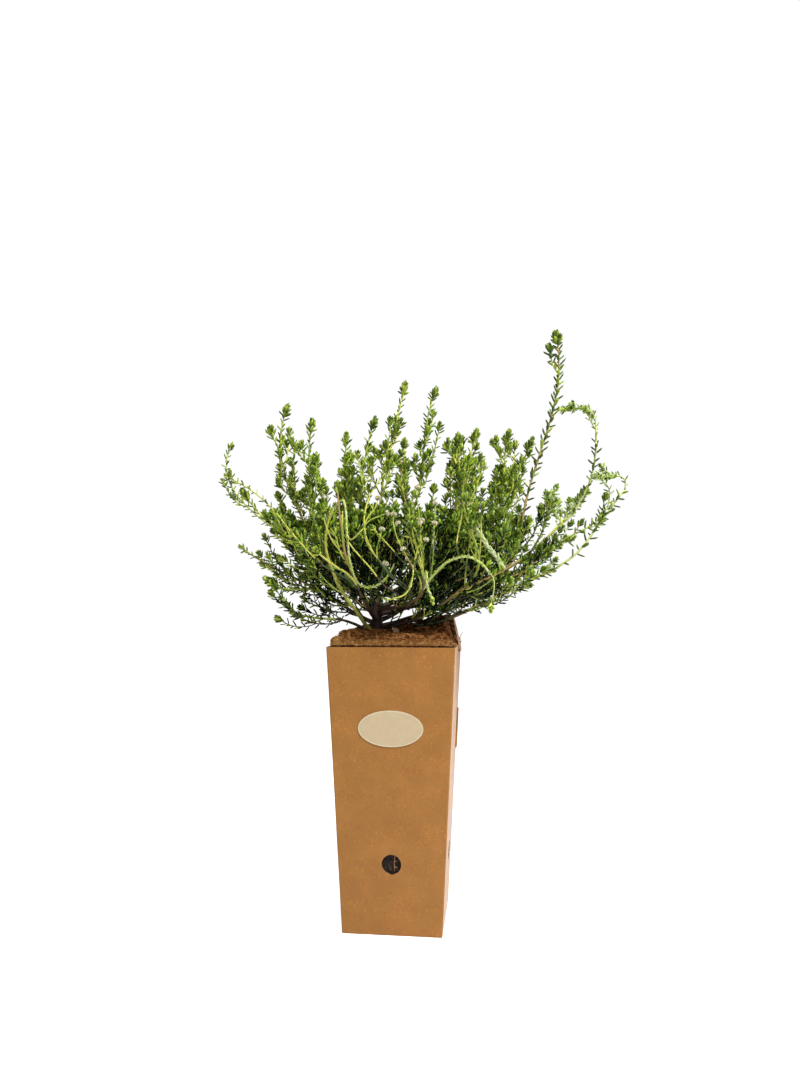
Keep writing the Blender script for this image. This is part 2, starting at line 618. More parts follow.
# Loose coconut fibres, 0.2 to 0.35 mm thick, drawn at twice that so that they show
FIBRES, FIBRE_LENGTHS, FIBRE_RADII = 5200, (0.006, 0.018), (0.00013, 0.00028)
FIBRE_LIFT, FIBRE_RAISED, FIBRE_BOW = 0.0022, 0.0006, 0.9
FIBRE_STATIONS = (0, 0.33, 0.67, 1)
coir_strand = mottled(
    "coir_strand", 240, 3, (0.3, COIR_DARK), (0.5, COIR_MID), (0.7, COIR_LIGHT),
    Roughness=0.9, Specular_IOR_Level=0.15,
)

draw = np.random.default_rng(5)
paths = []
for _ in range(FIBRES):
    x, y = draw.uniform(-1, 1, 2) * (half_mat - 0.002)
    turn, long = draw.uniform(0, 2 * math.pi), draw.uniform(*FIBRE_LENGTHS)
    lift, bow = draw.uniform(0, FIBRE_LIFT), draw.uniform(-FIBRE_BOW, FIBRE_BOW)
    line = []
    for share in FIBRE_STATIONS:
        way = turn + bow * share
        px = within_walls(x + long * (share - 0.5) * math.cos(way))
        py = within_walls(y + long * (share - 0.5) * math.sin(way))
        line.append((px, py, mat_at(px, py)[0] + FIBRE_RAISED + lift * math.sin(math.pi * share)))
    paths.append(line)
radii = np.repeat(draw.uniform(*FIBRE_RADII, (FIBRES, 1)), 4, axis=1)
mesh = joined_mesh("coir_strands", *tubes(paths, radii, 3))
coir_strands = new_piece("coir_strands", mesh, coir_strand)
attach(coir_strands, "root")

# The frayed edge: the felt's front edge is rolled over, its front left corner is folded into a
# lump, short pale fibres stand out of both, and a few hang over the rim at the front right.
FRAY, FRAY_LENGTHS, FRAY_RADII = 1100, (0.002, 0.0065), (0.00012, 0.00026)
FRAY_RISE, FRAY_BOW, FRAY_DEEP, CORNER_DEEP = (0.1, 0.9), 1.2, 0.004, (0.008, 0.014)
ROLL, ROLL_ROUND, ROLL_HEIGHT, ROLL_SPAN = 1700, 0.0041, 0.2932, (-15, 175)
CORNER_STRANDS, CORNER_ROUND, CORNER_HEIGHT, CORNER_IN = 900, 0.0066, 0.2945, 0.0068
OVERHANG, OVERHANG_REACH = 26, (0.004, 0.0075)
# Dry fibre ends, bleached to straw
frayed = mottled(
    "frayed_coir", 300, 3, (0.3, "84572f"), (0.55, "b4864e"), (0.75, "d8b57e"),
    Roughness=0.9, Specular_IOR_Level=0.15,
)


def unit(vector):
    """The vector at length 1."""
    return vector / np.linalg.norm(vector)


draw = np.random.default_rng(31)
paths = []
for k in range(FRAY):
    x, y = draw.uniform(-1, 1) * half_mat, -half_mat + draw.exponential(FRAY_DEEP)
    if k % 3 == 0:
        x, y = (-half_mat + draw.exponential(deep) for deep in CORNER_DEEP)
    x, y = within_walls(x), min(y, 0)
    z = mat_at(x, y)[0]
    turn, long = draw.uniform(0, 2 * math.pi), draw.uniform(*FRAY_LENGTHS)
    rise, bow = draw.uniform(*FRAY_RISE), draw.uniform(-FRAY_BOW, FRAY_BOW)
    line = []
    for share in FIBRE_STATIONS:
        way, step = turn + bow * share, long * share
        px, py = within_walls(x + step * math.cos(way)), max(y + step * math.sin(way), -half_mat)
        line.append((px, py, z + rise * step * (1 - 0.4 * share)))
    paths.append(line)
for _ in range(ROLL):
    middle, skew = draw.uniform(-1, 1) * (half_mat - 0.005), draw.normal(0, 0.3)
    turn, long = math.radians(draw.uniform(*ROLL_SPAN)), draw.uniform(*FIBRE_LENGTHS)
    reach = ROLL_ROUND * draw.uniform(0.75, 1.02)
    line = []
    for share in (-0.5, -0.17, 0.17, 0.5):
        px = within_walls(middle + long * share * math.cos(skew))
        way = turn + long * share * math.sin(skew) / ROLL_ROUND
        sag = 0.0007 * math.sin(px * 260) + 0.0005 * math.sin(px * 610 + 1)
        py = -half_mat + ROLL_ROUND * 1.03 - reach * math.cos(way)
        line.append((px, py, ROLL_HEIGHT + sag + reach * math.sin(way)))
    paths.append(line)
for _ in range(CORNER_STRANDS):
    out = unit(draw.normal(0, 1, 3))
    along_it = unit(np.cross(out, draw.normal(0, 1, 3)))
    reach, half_turn = CORNER_ROUND * draw.uniform(0.85, 1.05), draw.uniform(0.4, 1.1)
    line = []
    for share in (-1, -0.33, 0.33, 1):
        angle = share * half_turn
        px, py, pz = (out * math.cos(angle) + along_it * math.sin(angle)) * reach
        px = max(-half_mat + CORNER_IN + px * 1.15, -half_mat)
        py = max(-half_mat + CORNER_IN + py, -half_mat)
        line.append((px, py, CORNER_HEIGHT + pz * 0.95))
    paths.append(line)
for _ in range(OVERHANG):
    x, y = half_mat - draw.exponential(0.003), -half_mat + draw.exponential(0.009)
    out = draw.uniform(*OVERHANG_REACH)
    way = math.radians(draw.uniform(-70, 20))
    line = [(x - 0.004, y, MAT_LOW + 0.001), (x, y, MAT_LOW + 0.0025)]
    for share, rise in ((0.7, 0.0022), (1, -0.0005)):
        line.append((x + out * share * math.cos(way), y + out * share * math.sin(way), MAT_LOW + rise))
    paths.append(line)
radii = np.repeat(draw.uniform(*FRAY_RADII, (len(paths), 1)), 4, axis=1)
mesh = joined_mesh("frayed_edge", *tubes(paths, radii, 3))
frayed_edge = new_piece("frayed_edge", mesh, frayed)
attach(frayed_edge, "root")

# Dark humus and bits of bark lie in the mat's dip round the stems, and a torn scrap of paper
# is caught between the ear and the rim.
FOOT = Vector((-0.0215, -0.0025, 0))
HUMUS_BITS, HUMUS_SIZES, HUMUS_ROUGH = 150, (0.0006, 0.002), 0.0006
SCRAP_HALF, SCRAP_PLACE = (0.0022, 0.003, 1), (0.0676, 0.038, 0.2925)
PAPER_THICK = 0.0002

draw = np.random.default_rng(23)
shape = bmesh.new()
for _ in range(HUMUS_BITS):
    reach, angle = 0.005 + 0.022 * draw.uniform() ** 0.8, draw.uniform(0, 2 * math.pi)
    x, y = FOOT.x + 1.5 * reach * math.cos(angle), FOOT.y + reach * math.sin(angle)
    lump = bmesh.ops.create_icosphere(shape, subdivisions=1, radius=draw.uniform(*HUMUS_SIZES))
    bmesh.ops.scale(shape, verts=lump["verts"], vec=draw.uniform(0.5, 1.5, 3))
    bmesh.ops.translate(shape, verts=lump["verts"], vec=(x, y, mat_top(x, y) + HUMUS_ROUGH))
for corner in shape.verts:
    corner.co += noise.noise_vector(corner.co * 700) * HUMUS_ROUGH
# Rotted bark: reddish brown, blotched at 2 to 3 mm
humus_stops = (0.35, "2a120a"), (0.55, "5b2a14"), (0.7, "8a4a25")
humus = mottled("reddish_humus", 350, 5, *humus_stops, Roughness=0.9)
humus_bits = new_piece("humus_bits", shape, humus)
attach(humus_bits, "root")

shape = bmesh.new()
bmesh.ops.create_grid(shape, x_segments=9, y_segments=7, size=1)
bmesh.ops.scale(shape, verts=shape.verts, vec=SCRAP_HALF)
for corner in shape.verts:
    corner.co += noise.noise_vector(corner.co * 500 + Vector((2, 0, 1))) * 0.0009
bmesh.ops.solidify(shape, geom=shape.faces[:], thickness=PAPER_THICK)
lay(shape, Matrix.Rotation(1.2, 3, "Y"), SCRAP_PLACE)
paper_scrap = new_piece("paper_scrap", shape, label_margin)
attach(paper_scrap, "root")

# A dead leaf, pale and curled, lies on the mat at the right of the stems, and a dry twig sticks
# out between the ear and the rim.
LEAF_HALF_WIDE, LEAF_HALF_LONG, LEAF_CURL, LEAF_THICK = 0.0036, 0.0056, 0.0022, 0.0002
LEAF_X, LEAF_Y, LEAF_LIFT = 0, -0.026, 0.0045
TWIG_ROUND = 0.0007

shape = bmesh.new()
bmesh.ops.create_circle(shape, cap_ends=False, radius=1, segments=14)
bmesh.ops.edgeloop_fill(shape, edges=shape.edges)
bmesh.ops.inset_region(shape, faces=shape.faces[:], thickness=0.4)
for corner in shape.verts:
    across, along_it = corner.co.x, corner.co.y
    lengthwise = along_it * LEAF_HALF_LONG * (1 - 0.25 * across)
    corner.co = (across * LEAF_HALF_WIDE, lengthwise, LEAF_CURL * across * across)
bmesh.ops.solidify(shape, geom=shape.faces[:], thickness=LEAF_THICK)
tilt = Matrix.Rotation(0.5, 3, "Z") @ Matrix.Rotation(0.75, 3, "X")
lay(shape, tilt, (LEAF_X, LEAF_Y, mat_top(LEAF_X, LEAF_Y) + LEAF_LIFT))
# Dead leaf: papery, grey-brown, mottled at 2 mm
dead_leaf = mottled("dead_leaf", 420, 4, (0.35, "7b5a42"), (0.65, "b59a80"), Roughness=0.8)
dry_leaf = new_piece("dry_leaf", shape, dead_leaf)
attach(dry_leaf, "root")
shape = bmesh.new()
twig_line = curved([(0.0655, 0.030, 0.290), (0.0672, 0.032, 0.297), (0.0701, 0.033, 0.302)], 12)
sweep(shape, twig_line, thinning(TWIG_ROUND, 0.6), 6)
bmesh.ops.recalc_face_normals(shape, faces=shape.faces)
dry_twig = new_piece("dry_twig", shape, dead_leaf)
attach(dry_twig, "root")

# The woody base: a short trunk with a flared foot, which forks into boughs that arch out
# flat and then climb. Dark furrowed bark turns olive and then yellow-green along the boughs.
TRUNK = {"low": 284, "height": 359, "lean": -4, "foot": 9.5, "neck": 5.4, "fork": 3.4, "neck_at": 0.38}
TRUNK_SUNK = 0.3
BOUGH_THICK, BOUGH_THIN, BOUGH_COLLAR = 2.1, 1.15, 1.4
FLAT_START, FULLNESS, GAP = 0.45, 0.37, 0.3
LIMB_SWAY, TRUNK_FURROWS, BOUGH_FURROWS, RING_STEP = 0.0024, 0.3, 0.22, 2.2
BARK_OLD, BARK_DARK, BARK_OLIVE, BARK_GREEN = "2b160c", "3b2213", "6d5a33", "a9a951"
# Each bough: the height at which it leaves the trunk, the turn, reach and height of its tip
# as seen from the trunk's foot, in millimetres, and the turn and rise of its heading there
BOUGHS = (
    ("far_left_bough", 322, -169, 67, 383, (-173, 37)),
    ("left_mid_bough", 312, 169, 80, 354, (170, 22)),
    ("left_low_bough", 303, -178, 47, 317, (-176, 4)),
    ("left_tall_bough", 334, 174, 68, 394, (169, 58)),
    ("mid_left_bough", 347, 168, 25, 411, (163, 75)),
    ("centre_bough", 359, -84, 15, 416, (-63, 80)),
    ("centre_right_bough", 352, 28, 33, 414, (19, 66)),
    ("right_inner_bough", 340, -3, 71, 398, (-2, 53)),
    ("right_mid_bough", 330, 19, 116, 392, (22, 40)),
    ("tall_bough", 322, 5, 158, 410, (7, 84)),
    ("arch_bough", 308, 12, 211, 426, (16, 42)),
    ("arc_bough", 297, 1, 194, 372, (7, 24)),
    ("front_left_bough", 316, -107, 65, 367, (-114, 53)),
    ("front_bough", 327, -51, 89, 362, (-108, 61)),
    ("front_right_bough", 304, -27, 116, 358, (-24, 39)),
    ("back_left_bough", 324, 129, 77, 385, (141, 49)),
    ("back_bough", 348, 77, 79, 400, (84, 57)),
    ("back_right_bough", 315, 46, 127, 386, (40, 39)),
    ("loop_stem", 293, -129, 64, 435, (-6, 59)),
)
UP = np.array((0.0, 0.0, 1.0))


def direction(turn, rise):
    """A direction from its compass turn and its rise above level, in degrees."""
    turn, rise = math.radians(turn), math.radians(rise)
    level = math.cos(rise)
    return np.array((level * math.cos(turn), level * math.sin(turn), math.sin(rise)))


def place(turn, reach, top):
    """A place from its turn and reach round the trunk's foot and its height, in millimetres."""
    spot = direction(turn, 0) * reach
    return np.array((FOOT.x * 1000 + spot[0], FOOT.y * 1000 + spot[1], top))


def bend(start, leave, end, arrive, full=FULLNESS):
    """The four handles of a curve that leaves and arrives along two directions."""
    handle = np.linalg.norm(end - start) * full
    return np.array((start, start + leave * handle, end - arrive * handle, end))


def on_curve(curve, t):
    """Points of a curve by its own running number, from 0 to 1."""
    return (
        (1 - t) ** 3 * curve[0]
        + 3 * t * (1 - t) ** 2 * curve[1]
        + 3 * t**2 * (1 - t) * curve[2]
        + t**3 * curve[3]
    )


def along(curve, shares):
    """Points and directions at shares of a curve's length, and that length."""
    t = np.linspace(0, 1, 201)[:, None]
    strides = np.linalg.norm(np.diff(on_curve(curve, t), axis=0), axis=1)
    steps = np.concatenate(([0], np.cumsum(strides)))
    t = np.interp(np.atleast_1d(shares) * steps[-1], steps, t[:, 0])[:, None]
    ways = (
        (1 - t) ** 2 * (curve[1] - curve[0])
        + 2 * t * (1 - t) * (curve[2] - curve[1])
        + t**2 * (curve[3] - curve[2])
    )
    return on_curve(curve, t), ways / np.linalg.norm(ways, axis=1)[:, None], steps[-1]


def spot_on(curve, share):
    """The point and the direction at one share of a curve's length."""
    points, ways, _ = along(curve, share)
    return points[0], ways[0]


foot = np.array((FOOT.x * 1000, FOOT.y * 1000, TRUNK["low"] + TRUNK_SUNK))
fork = np.array((FOOT.x * 1000 + TRUNK["lean"], FOOT.y * 1000, TRUNK["height"]))
trunk_curve = bend(foot, UP, fork, direction(180, 82))
limb_curves = {"trunk": trunk_curve}
for name, height, turn, reach, top, head in BOUGHS:
    share = min((height - TRUNK["low"]) / (TRUNK["height"] - TRUNK["low"]), 1)
    start = spot_on(trunk_curve, share)[0]
    end = place(turn, reach, top)
    leave = end - start
    if share < 1:
        leave[2] *= FLAT_START
    limb_curves[name] = bend(start, unit(leave), end, direction(*head))

# Bark: dull dark brown and furrowed low down, then olive, then the smooth yellow-green of
# young wood, by how far the limb has grown from the trunk's foot
bark, tree, shader = new_material("shrub_bark")
where = add_node(tree, "ShaderNodeTexCoord").outputs["Object"]
from_foot = {0: where, 1: (FOOT.x, FOOT.y, 0.300)}
outward = add_node(tree, "ShaderNodeVectorMath", from_foot, operation="DISTANCE")
patches = add_node(tree, "ShaderNodeTexNoise", {"Vector": where, "Scale": 130, "Detail": 6})
uneven = {0: patches.outputs["Fac"], 1: 0.07, 2: outward.outputs["Value"]}
age = add_node(tree, "ShaderNodeMath", uneven, operation="MULTIPLY_ADD")
age_span = {"Value": age.outputs[0], "From Min": 0.045, "From Max": 0.215}
age_share = add_node(tree, "ShaderNodeMapRange", age_span)
age_tone = add_node(tree, "ShaderNodeValToRGB", {"Fac": age_share.outputs[0]})
bark_stops = (0.0, BARK_OLD), (0.18, BARK_DARK), (0.5, BARK_OLIVE), (0.9, BARK_GREEN)
set_ramp(age_tone.color_ramp, *bark_stops)
tree.links.new(age_tone.outputs[0], shader.inputs["Base Color"])
rise = {"Height": patches.outputs["Fac"], "Strength": 0.5, "Distance": 0.0008}
tree.links.new(add_node(tree, "ShaderNodeBump", rise).outputs[0], shader.inputs["Normal"])
set_sockets(shader, Roughness=0.75)


def furrowed(radius_at, length, seed, deep):
    """A limb's radius, in metres, with long furrows and knots that fade towards its tip."""

    def radius(share, angle):
        round_it = Vector((math.cos(angle) * 1.6, math.sin(angle) * 1.6, share * length / 9 + seed))
        ridges = 1 - abs(noise.noise(round_it)) * 2
        knots = noise.noise(Vector((seed, share * length / 14, 0.5)))
        relief = deep * (1 - 0.75 * share) * (0.5 * ridges + 0.6 * max(knots, 0))
        return radius_at(share) * (1 + relief) / 1000

    return radius


def trunk_radius(share):
    """The trunk's radius in millimetres: a flared foot, a neck, and a slow taper to the fork."""
    if share < TRUNK["neck_at"]:
        flare = (1 - share / TRUNK["neck_at"]) ** 2
        return TRUNK["neck"] + (TRUNK["foot"] - TRUNK["neck"]) * flare
    rest = (share - TRUNK["neck_at"]) / (1 - TRUNK["neck_at"])
    return TRUNK["neck"] + (TRUNK["fork"] - TRUNK["neck"]) * rest


def bough_radius(share):
    """A bough's radius in millimetres, with a collar where it leaves the trunk."""
    collar = BOUGH_COLLAR * math.exp(-share * 14)
    return BOUGH_THICK + (BOUGH_THIN - BOUGH_THICK) * share + collar


# The stem of the loop is a young shoot, smooth and yellow-green from the soil up
loop_bark = mottled("young_loop_bark", 240, 3, (0.35, "8f8a3c"), (0.6, "b6b94e"), Roughness=0.6)

for seed, (name, curve) in enumerate(limb_curves.items()):
    length = along(curve, 1)[2]
    rings = max(24, int(length / RING_STEP))
    path = along(curve, np.linspace(0, 1, rings))[0] / 1000
    # The limb wanders a little from its line, as grown wood does
    for i, point in enumerate(path):
        sway = min(i, rings - 1 - i) / rings * 2
        path[i] += np.array(noise.noise_vector(Vector(point * 45))) * LIMB_SWAY * sway
    shape = bmesh.new()
    if name == "trunk":
        sweep(shape, path, furrowed(trunk_radius, length, seed, TRUNK_FURROWS), 20)
    else:
        sweep(shape, path, furrowed(bough_radius, length, seed, BOUGH_FURROWS), 12)
    bmesh.ops.recalc_face_normals(shape, faces=shape.faces)
    for face in shape.faces:
        face.smooth = True
    limb = new_piece(name + "_bark", shape, loop_bark if name == "loop_stem" else bark)
    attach(limb, "root")
    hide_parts(name)

# Green shoots: each mass has a leading stem that goes on from its bough, and side shoots that
# splay from it by a seeded turn and then run with it, down to fine twigs.
SIDE_USUAL, SIDE_FIRST, SIDE_LAST, SIDE_SPLAY = 4, 0.1, 0.85, 42
SIDE_SPREAD, SIDE_LEAST, SPIRAL, VARY = 0.3, 20, 137.5, 60
SHOOT_SHORT, SHOOT_VARY, SHOOT_SHRINK = 0.3, 0.35, 0.85
TUFT_AHEAD, MASS_ROOM, LIMB_ROOM, MAT_ROOM = 7, 1.6, 3.9, 2.5
STEM_THICK, STEM_JOINED, STEM_THIN, TWIG_THICK, TWIG_THIN = 1.4, 1.1, 0.8, 0.85, 0.6
THREAD_THICK, THREAD_THIN = 0.6, 0.45
TIP_CLEAR, TIP_CLOSE, TIP_OVER = 22, 6, 8
# Each mass: the limb it grows on and how far along, then its leading tip as above, and what
# differs from the usual: curve fullness, side shoots, and whether another mass carries it on
MASSES = (
    ("left_hook", "far_left_bough", 1, -177, 164, 519, (22, 62), {"side": 3, "first": 0.52}),
    ("left_reach", "far_left_bough", 0.8, -160, 152, 460, (-160, 60), {}),
    ("left_tall", "left_tall_bough", 1, -176, 102, 562, (1, 70), {}),
    ("left_inner", "left_tall_bough", 0.8, -154, 76, 539, (-7, 83), {}),
    ("left_low_reach", "left_mid_bough", 1, 176, 167, 403, (-173, 37), {}),
    ("left_low", "left_mid_bough", 0.8, -160, 127, 365, (-164, 45), {}),
    ("left_skirt", "left_low_bough", 1, -176, 110, 345, (-173, 66), {}),
    ("mid_left", "mid_left_bough", 1, -154, 37, 527, (-19, 86), {}),
    ("mid_left_back", "mid_left_bough", 0.6, 104, 32, 554, (14, 74), {}),
    ("centre_tall", "centre_bough", 1, -19, 35, 583, (7, 77), {}),
    ("centre_right_tall", "centre_right_bough", 1, 17, 68, 584, (7, 70), {}),
    ("right_inner", "right_inner_bough", 1, -3, 90, 525, (-17, 84), {}),
    ("right_inner_back", "right_inner_bough", 0.8, 24, 120, 540, (14, 76), {}),
    ("right_mid", "right_mid_bough", 1, 14, 152, 536, (7, 75), {}),
    ("right_mid_back", "right_mid_bough", 0.8, 25, 194, 536, (27, 68), {}),
    ("tallest", "tall_bough", 1, 7, 200, 645, (-173, 80), {"side": 2, "first": 0.8}),
    ("arch_rise", "arch_bough", 1, 9, 247, 518, (-67, 85), {"side": 1, "first": 0.5, "goes_on": True}),
    ("arch_hook", "arch_rise", 1, 7, 210, 552, (-159, -15), {"full": 0.62, "side": 2}),
    ("cluster_low", "arch_bough", 0.8, -3, 192, 459, (-11, 71), {"side": 2}),
    ("cluster_back", "arch_bough", 0.9, 17, 243, 466, (21, 57), {"side": 2}),
    ("arc_rise", "arc_bough", 1, 4, 272, 458, (18, 74), {"full": 0.42, "side": 1, "goes_on": True}),
    ("arc_hook", "arc_rise", 1, 0, 241, 471, (-151, -15), {"full": 0.55, "side": 1}),
    ("loop_fall", "loop_stem", 1, -103, 74, 367, (-14, -72), {"full": 0.5, "side": 0, "goes_on": True}),
    ("loop_curl", "loop_fall", 1, -70, 87, 382, (-7, 71), {"full": 0.6, "side": 1, "heads": 1}),
    ("front_left", "front_left_bough", 1, -106, 103, 460, (-112, 78), {}),
    ("front_left_low", "front_left_bough", 0.8, -109, 139, 391, (-133, 42), {}),
    ("front_centre", "front_bough", 1, -67, 114, 436, (-105, 74), {"heads": 3}),
    ("front_arching", "front_bough", 0.85, -35, 150, 365, (-2, -43), {"side": 2, "goes_on": True}),
    ("front_right", "front_right_bough", 1, -42, 132, 447, (-86, 81), {"heads": 1}),
    ("front_low_right", "front_right_bough", 0.8, -30, 183, 382, (-13, 35), {}),
    ("hanging", "front_arching", 1, -35, 152, 322, (53, -85), {"side": 0}),
    ("back_left", "back_left_bough", 1, 136, 136, 519, (147, 71), {}),
    ("back_left_inner", "back_left_bough", 0.8, 114, 136, 532, (119, 77), {}),
    ("back_centre", "back_bough", 1, 83, 129, 547, (86, 78), {}),
    ("back_right_inner", "back_right_bough", 1, 62, 169, 537, (78, 72), {}),
    ("back_right", "back_right_bough", 0.8, 41, 205, 511, (34, 63), {}),
)
SIDE_AXIS = direction(37, 11)


def draws_from(seed):
    """The same draws in the same order for the same seed, as in the source."""
    state = [seed * 7919 + 17]

    def next_draw():
        state[0] = (state[0] * 1664525 + 1013904223) % 4294967296
        return state[0] / 4294967296

    return next_draw


def turned_about(vector, axis, angle):
    """The vector turned about an axis by an angle in degrees."""
    return np.array(Matrix.Rotation(math.radians(angle), 3, Vector(axis)) @ Vector(vector))


def paths_of(curves):
    """Each curve as 21 points, for measuring distances to it."""
    return {name: along(curve, np.linspace(0, 1, 21))[0] for name, curve in curves.items()}


def distance_to(path, points):
    """The distance from each point to a path's nearest step."""
    starts, steps = path[:-1], np.diff(path, axis=0)
    from_start = points[:, None] - starts[None]
    share = np.clip((from_start * steps).sum(2) / (steps * steps).sum(1), 0, 1)
    apart = from_start - share[..., None] * steps
    return np.sqrt((apart * apart).sum(2)).min(1)


stem_curves = {}
for name, on, at, turn, reach, top, head, more in MASSES:
    carrier = {**limb_curves, **stem_curves}[on]
    start, leave = spot_on(carrier, at)
    heading = direction(*head)
    end = place(turn, reach, top)
    if not more.get("goes_on"):
        end = end - heading * TUFT_AHEAD
    if at == 1:
        start = start + leave * GAP
    else:
        leave = unit(leave + unit(end - start))
    stem_curves[name] = bend(start, leave, end, heading, more.get("full", FULLNESS))
limb_paths, stem_paths = paths_of(limb_curves), paths_of(stem_curves)
# The arching shoot's hump stands higher than the line that its space is measured from, and
# the long arc rises closer to the crown
ARCH_LIFT, ARC_LOW_SHIFT, ARC_HIGH_SHIFT = 14, (-4, 0, 6), (-26, 0, 4)
stem_curves["front_arching"][1:3] += UP * ARCH_LIFT
stem_curves["arc_rise"][1] += ARC_LOW_SHIFT
stem_curves["arc_rise"][2] += ARC_HIGH_SHIFT


def above_mat(points):
    """Whether points over the carton lie clear above the mat and the ear."""
    half = half_width(CARTON_HEIGHT) * 1000 + MAT_ROOM
    for x, y, z in points:
        if abs(x) < half and abs(y) < half:
            over_ear = x > half - EAR_WIDE * 500 and abs(y - EAR_MIDDLE * 1000) < EAR_WIDE * 1000
            floor = (CARTON_HEIGHT + EAR_HIGH) if over_ear else mat_top(x / 1000, y / 1000)
            if z < floor * 1000 + MAT_ROOM:
                return False
    return True


def in_own_space(points, own, extra):
    """Whether points keep to a mass's space, as the source asks."""
    if not above_mat(points):
        return False
    near = distance_to(stem_paths[own], points)
    for name, path in stem_paths.items():
        if name != own and (distance_to(path, points) < near + MASS_ROOM + extra).any():
            return False
    return all((distance_to(path, points) >= LIMB_ROOM + extra).all() for path in limb_paths.values())


def side_shoots(curve, count, draw, fits, first=SIDE_FIRST, last=SIDE_LAST, **more):
    """Shoots that splay from a curve by seeded turns, then run with it: share, curve pairs.
    More: reach and up in place of what is left of the curve and the usual pull upwards, the
    splay and the least length."""
    made = []
    whole = along(curve, 1)[2]
    splay = math.radians(more.get("splay", SIDE_SPLAY))
    least = more.get("least", SIDE_LEAST)
    for k in range(count):
        share = first + (last - first) * ((k + 0.7 * draw()) / count)
        turned = k * SPIRAL + VARY * draw()
        start, way = spot_on(curve, share)
        side = turned_about(unit(np.cross(way, SIDE_AXIS)), way, turned)
        leave = way * math.cos(splay) + side * math.sin(splay)
        arrive = unit(way + UP * more.get("up", 1) + side * SIDE_SPREAD)
        reach = more.get("reach", whole * (1 - share))
        long = reach * (SHOOT_SHORT + SHOOT_VARY * draw()) + least / 2
        while long > least:
            end = start + leave * long * 0.4 + arrive * long * 0.6
            shoot = bend(start, leave, end, arrive)
            if fits(shoot, end + arrive * TUFT_AHEAD):
                made.append((share, shoot))
                break
            long *= SHOOT_SHRINK
    return made


# Every shoot is kept as its curve, its radius at each end, its kind, where its leaves begin,
# what ends it and whether it carries on another shoot
shoots = []


def keep(curve, thick, thin, kind, start=0.05, end="tuft", on_stem=False):
    """Keeps a shoot for its bark and its leaves."""
    row = {"curve": curve, "thick": thick, "thin": thin, "kind": kind}
    shoots.append({**row, "start": start, "end": end, "on_stem": on_stem})


# A young shoot wrapped in close-set felted leaves, which thickens towards its tip
SLENDER_FULL = 0.4
felted_foot, felted_tip = spot_on(stem_curves["front_low_right"], 0.8)[0], place(-38, 140, 409)
felted_way = unit(felted_tip - felted_foot)
felted_curve = bend(felted_foot, felted_way, felted_tip, felted_way, SLENDER_FULL)
keep(felted_curve, 1.3, 1.7, "felted", 0.04)
# The loop carries close-set scales of leaves from its middle on
keep(limb_curves["loop_stem"], 0.9, 0.9, "bare", 0.3, "goes_on")

# The loop, the arching shoot, the felted one and the outer half of the arch's bough show from
# the front, as nothing else grows across them there. Each: where it begins to show, and the
# room beside it that stays clear
CLEAR_WIDE, CLEAR_SLIM, CLEAR_BEHIND, CLEAR_POINTS = 7.5, 2.4, 4, 25
CLEAR_LINES = (
    ("loop_stem", 0.25, CLEAR_WIDE),
    ("loop_fall", 0, CLEAR_WIDE),
    ("loop_curl", 0, CLEAR_WIDE),
    ("front_arching", 0, CLEAR_WIDE),
    ("felted", 0, CLEAR_WIDE),
    ("arch_bough", 0.6, CLEAR_SLIM),
)
CAMERA_SPOT = np.array(camera.location) * 1000
clear_lines, clear_rooms = [], []
for name, first, room in CLEAR_LINES:
    curve = {**limb_curves, **stem_curves, "felted": felted_curve}[name]
    clear_lines.append(along(curve, np.linspace(first, 1, CLEAR_POINTS))[0])
    clear_rooms += [room] * CLEAR_POINTS
clear_sight = np.concatenate(clear_lines) - CAMERA_SPOT
clear_depth = clear_sight[:, 1]


def hides_a_line(points):
    """Whether points come between the photograph's viewpoint and one of the clear lines."""
    sight = points - CAMERA_SPOT
    apart = (sight[:, None, ::2] / sight[:, None, 1:2]) * clear_depth[:, None] - clear_sight[:, ::2]
    near = np.hypot(apart[..., 0], apart[..., 1]) < clear_rooms
    return (near & (sight[:, None, 1] < clear_depth + CLEAR_BEHIND)).any()


def fits_under(ceiling):
    """A test of whether a shoot stays under a ceiling and clears the mat and the lines."""

    def fits(shoot, tip):
        points = along(shoot, np.linspace(0, 1, 9))[0]
        return above_mat(points) and tip[2] < ceiling and not hides_a_line(points)

    return fits


# The kinds of leading stem that aren't full leafy ones, by the masses that they lead, and how
# many of the source's side shoots such a stem has at most
KINDS = {
    "bare": ("loop_fall", "loop_curl", "front_arching"),
    "thread": ("hanging",),
    "hook": ("left_hook", "left_low_reach", "left_skirt"),
    "sparse": ("arch_rise", "arc_rise"),
    "lone": ("tallest",),
    "pale": ("arch_hook", "arc_hook", "cluster_low", "cluster_back"),
    "open": ("front_centre", "front_right"),
}
MOST_SIDES = {"hook": 1, "lone": 1, "sparse": 0}
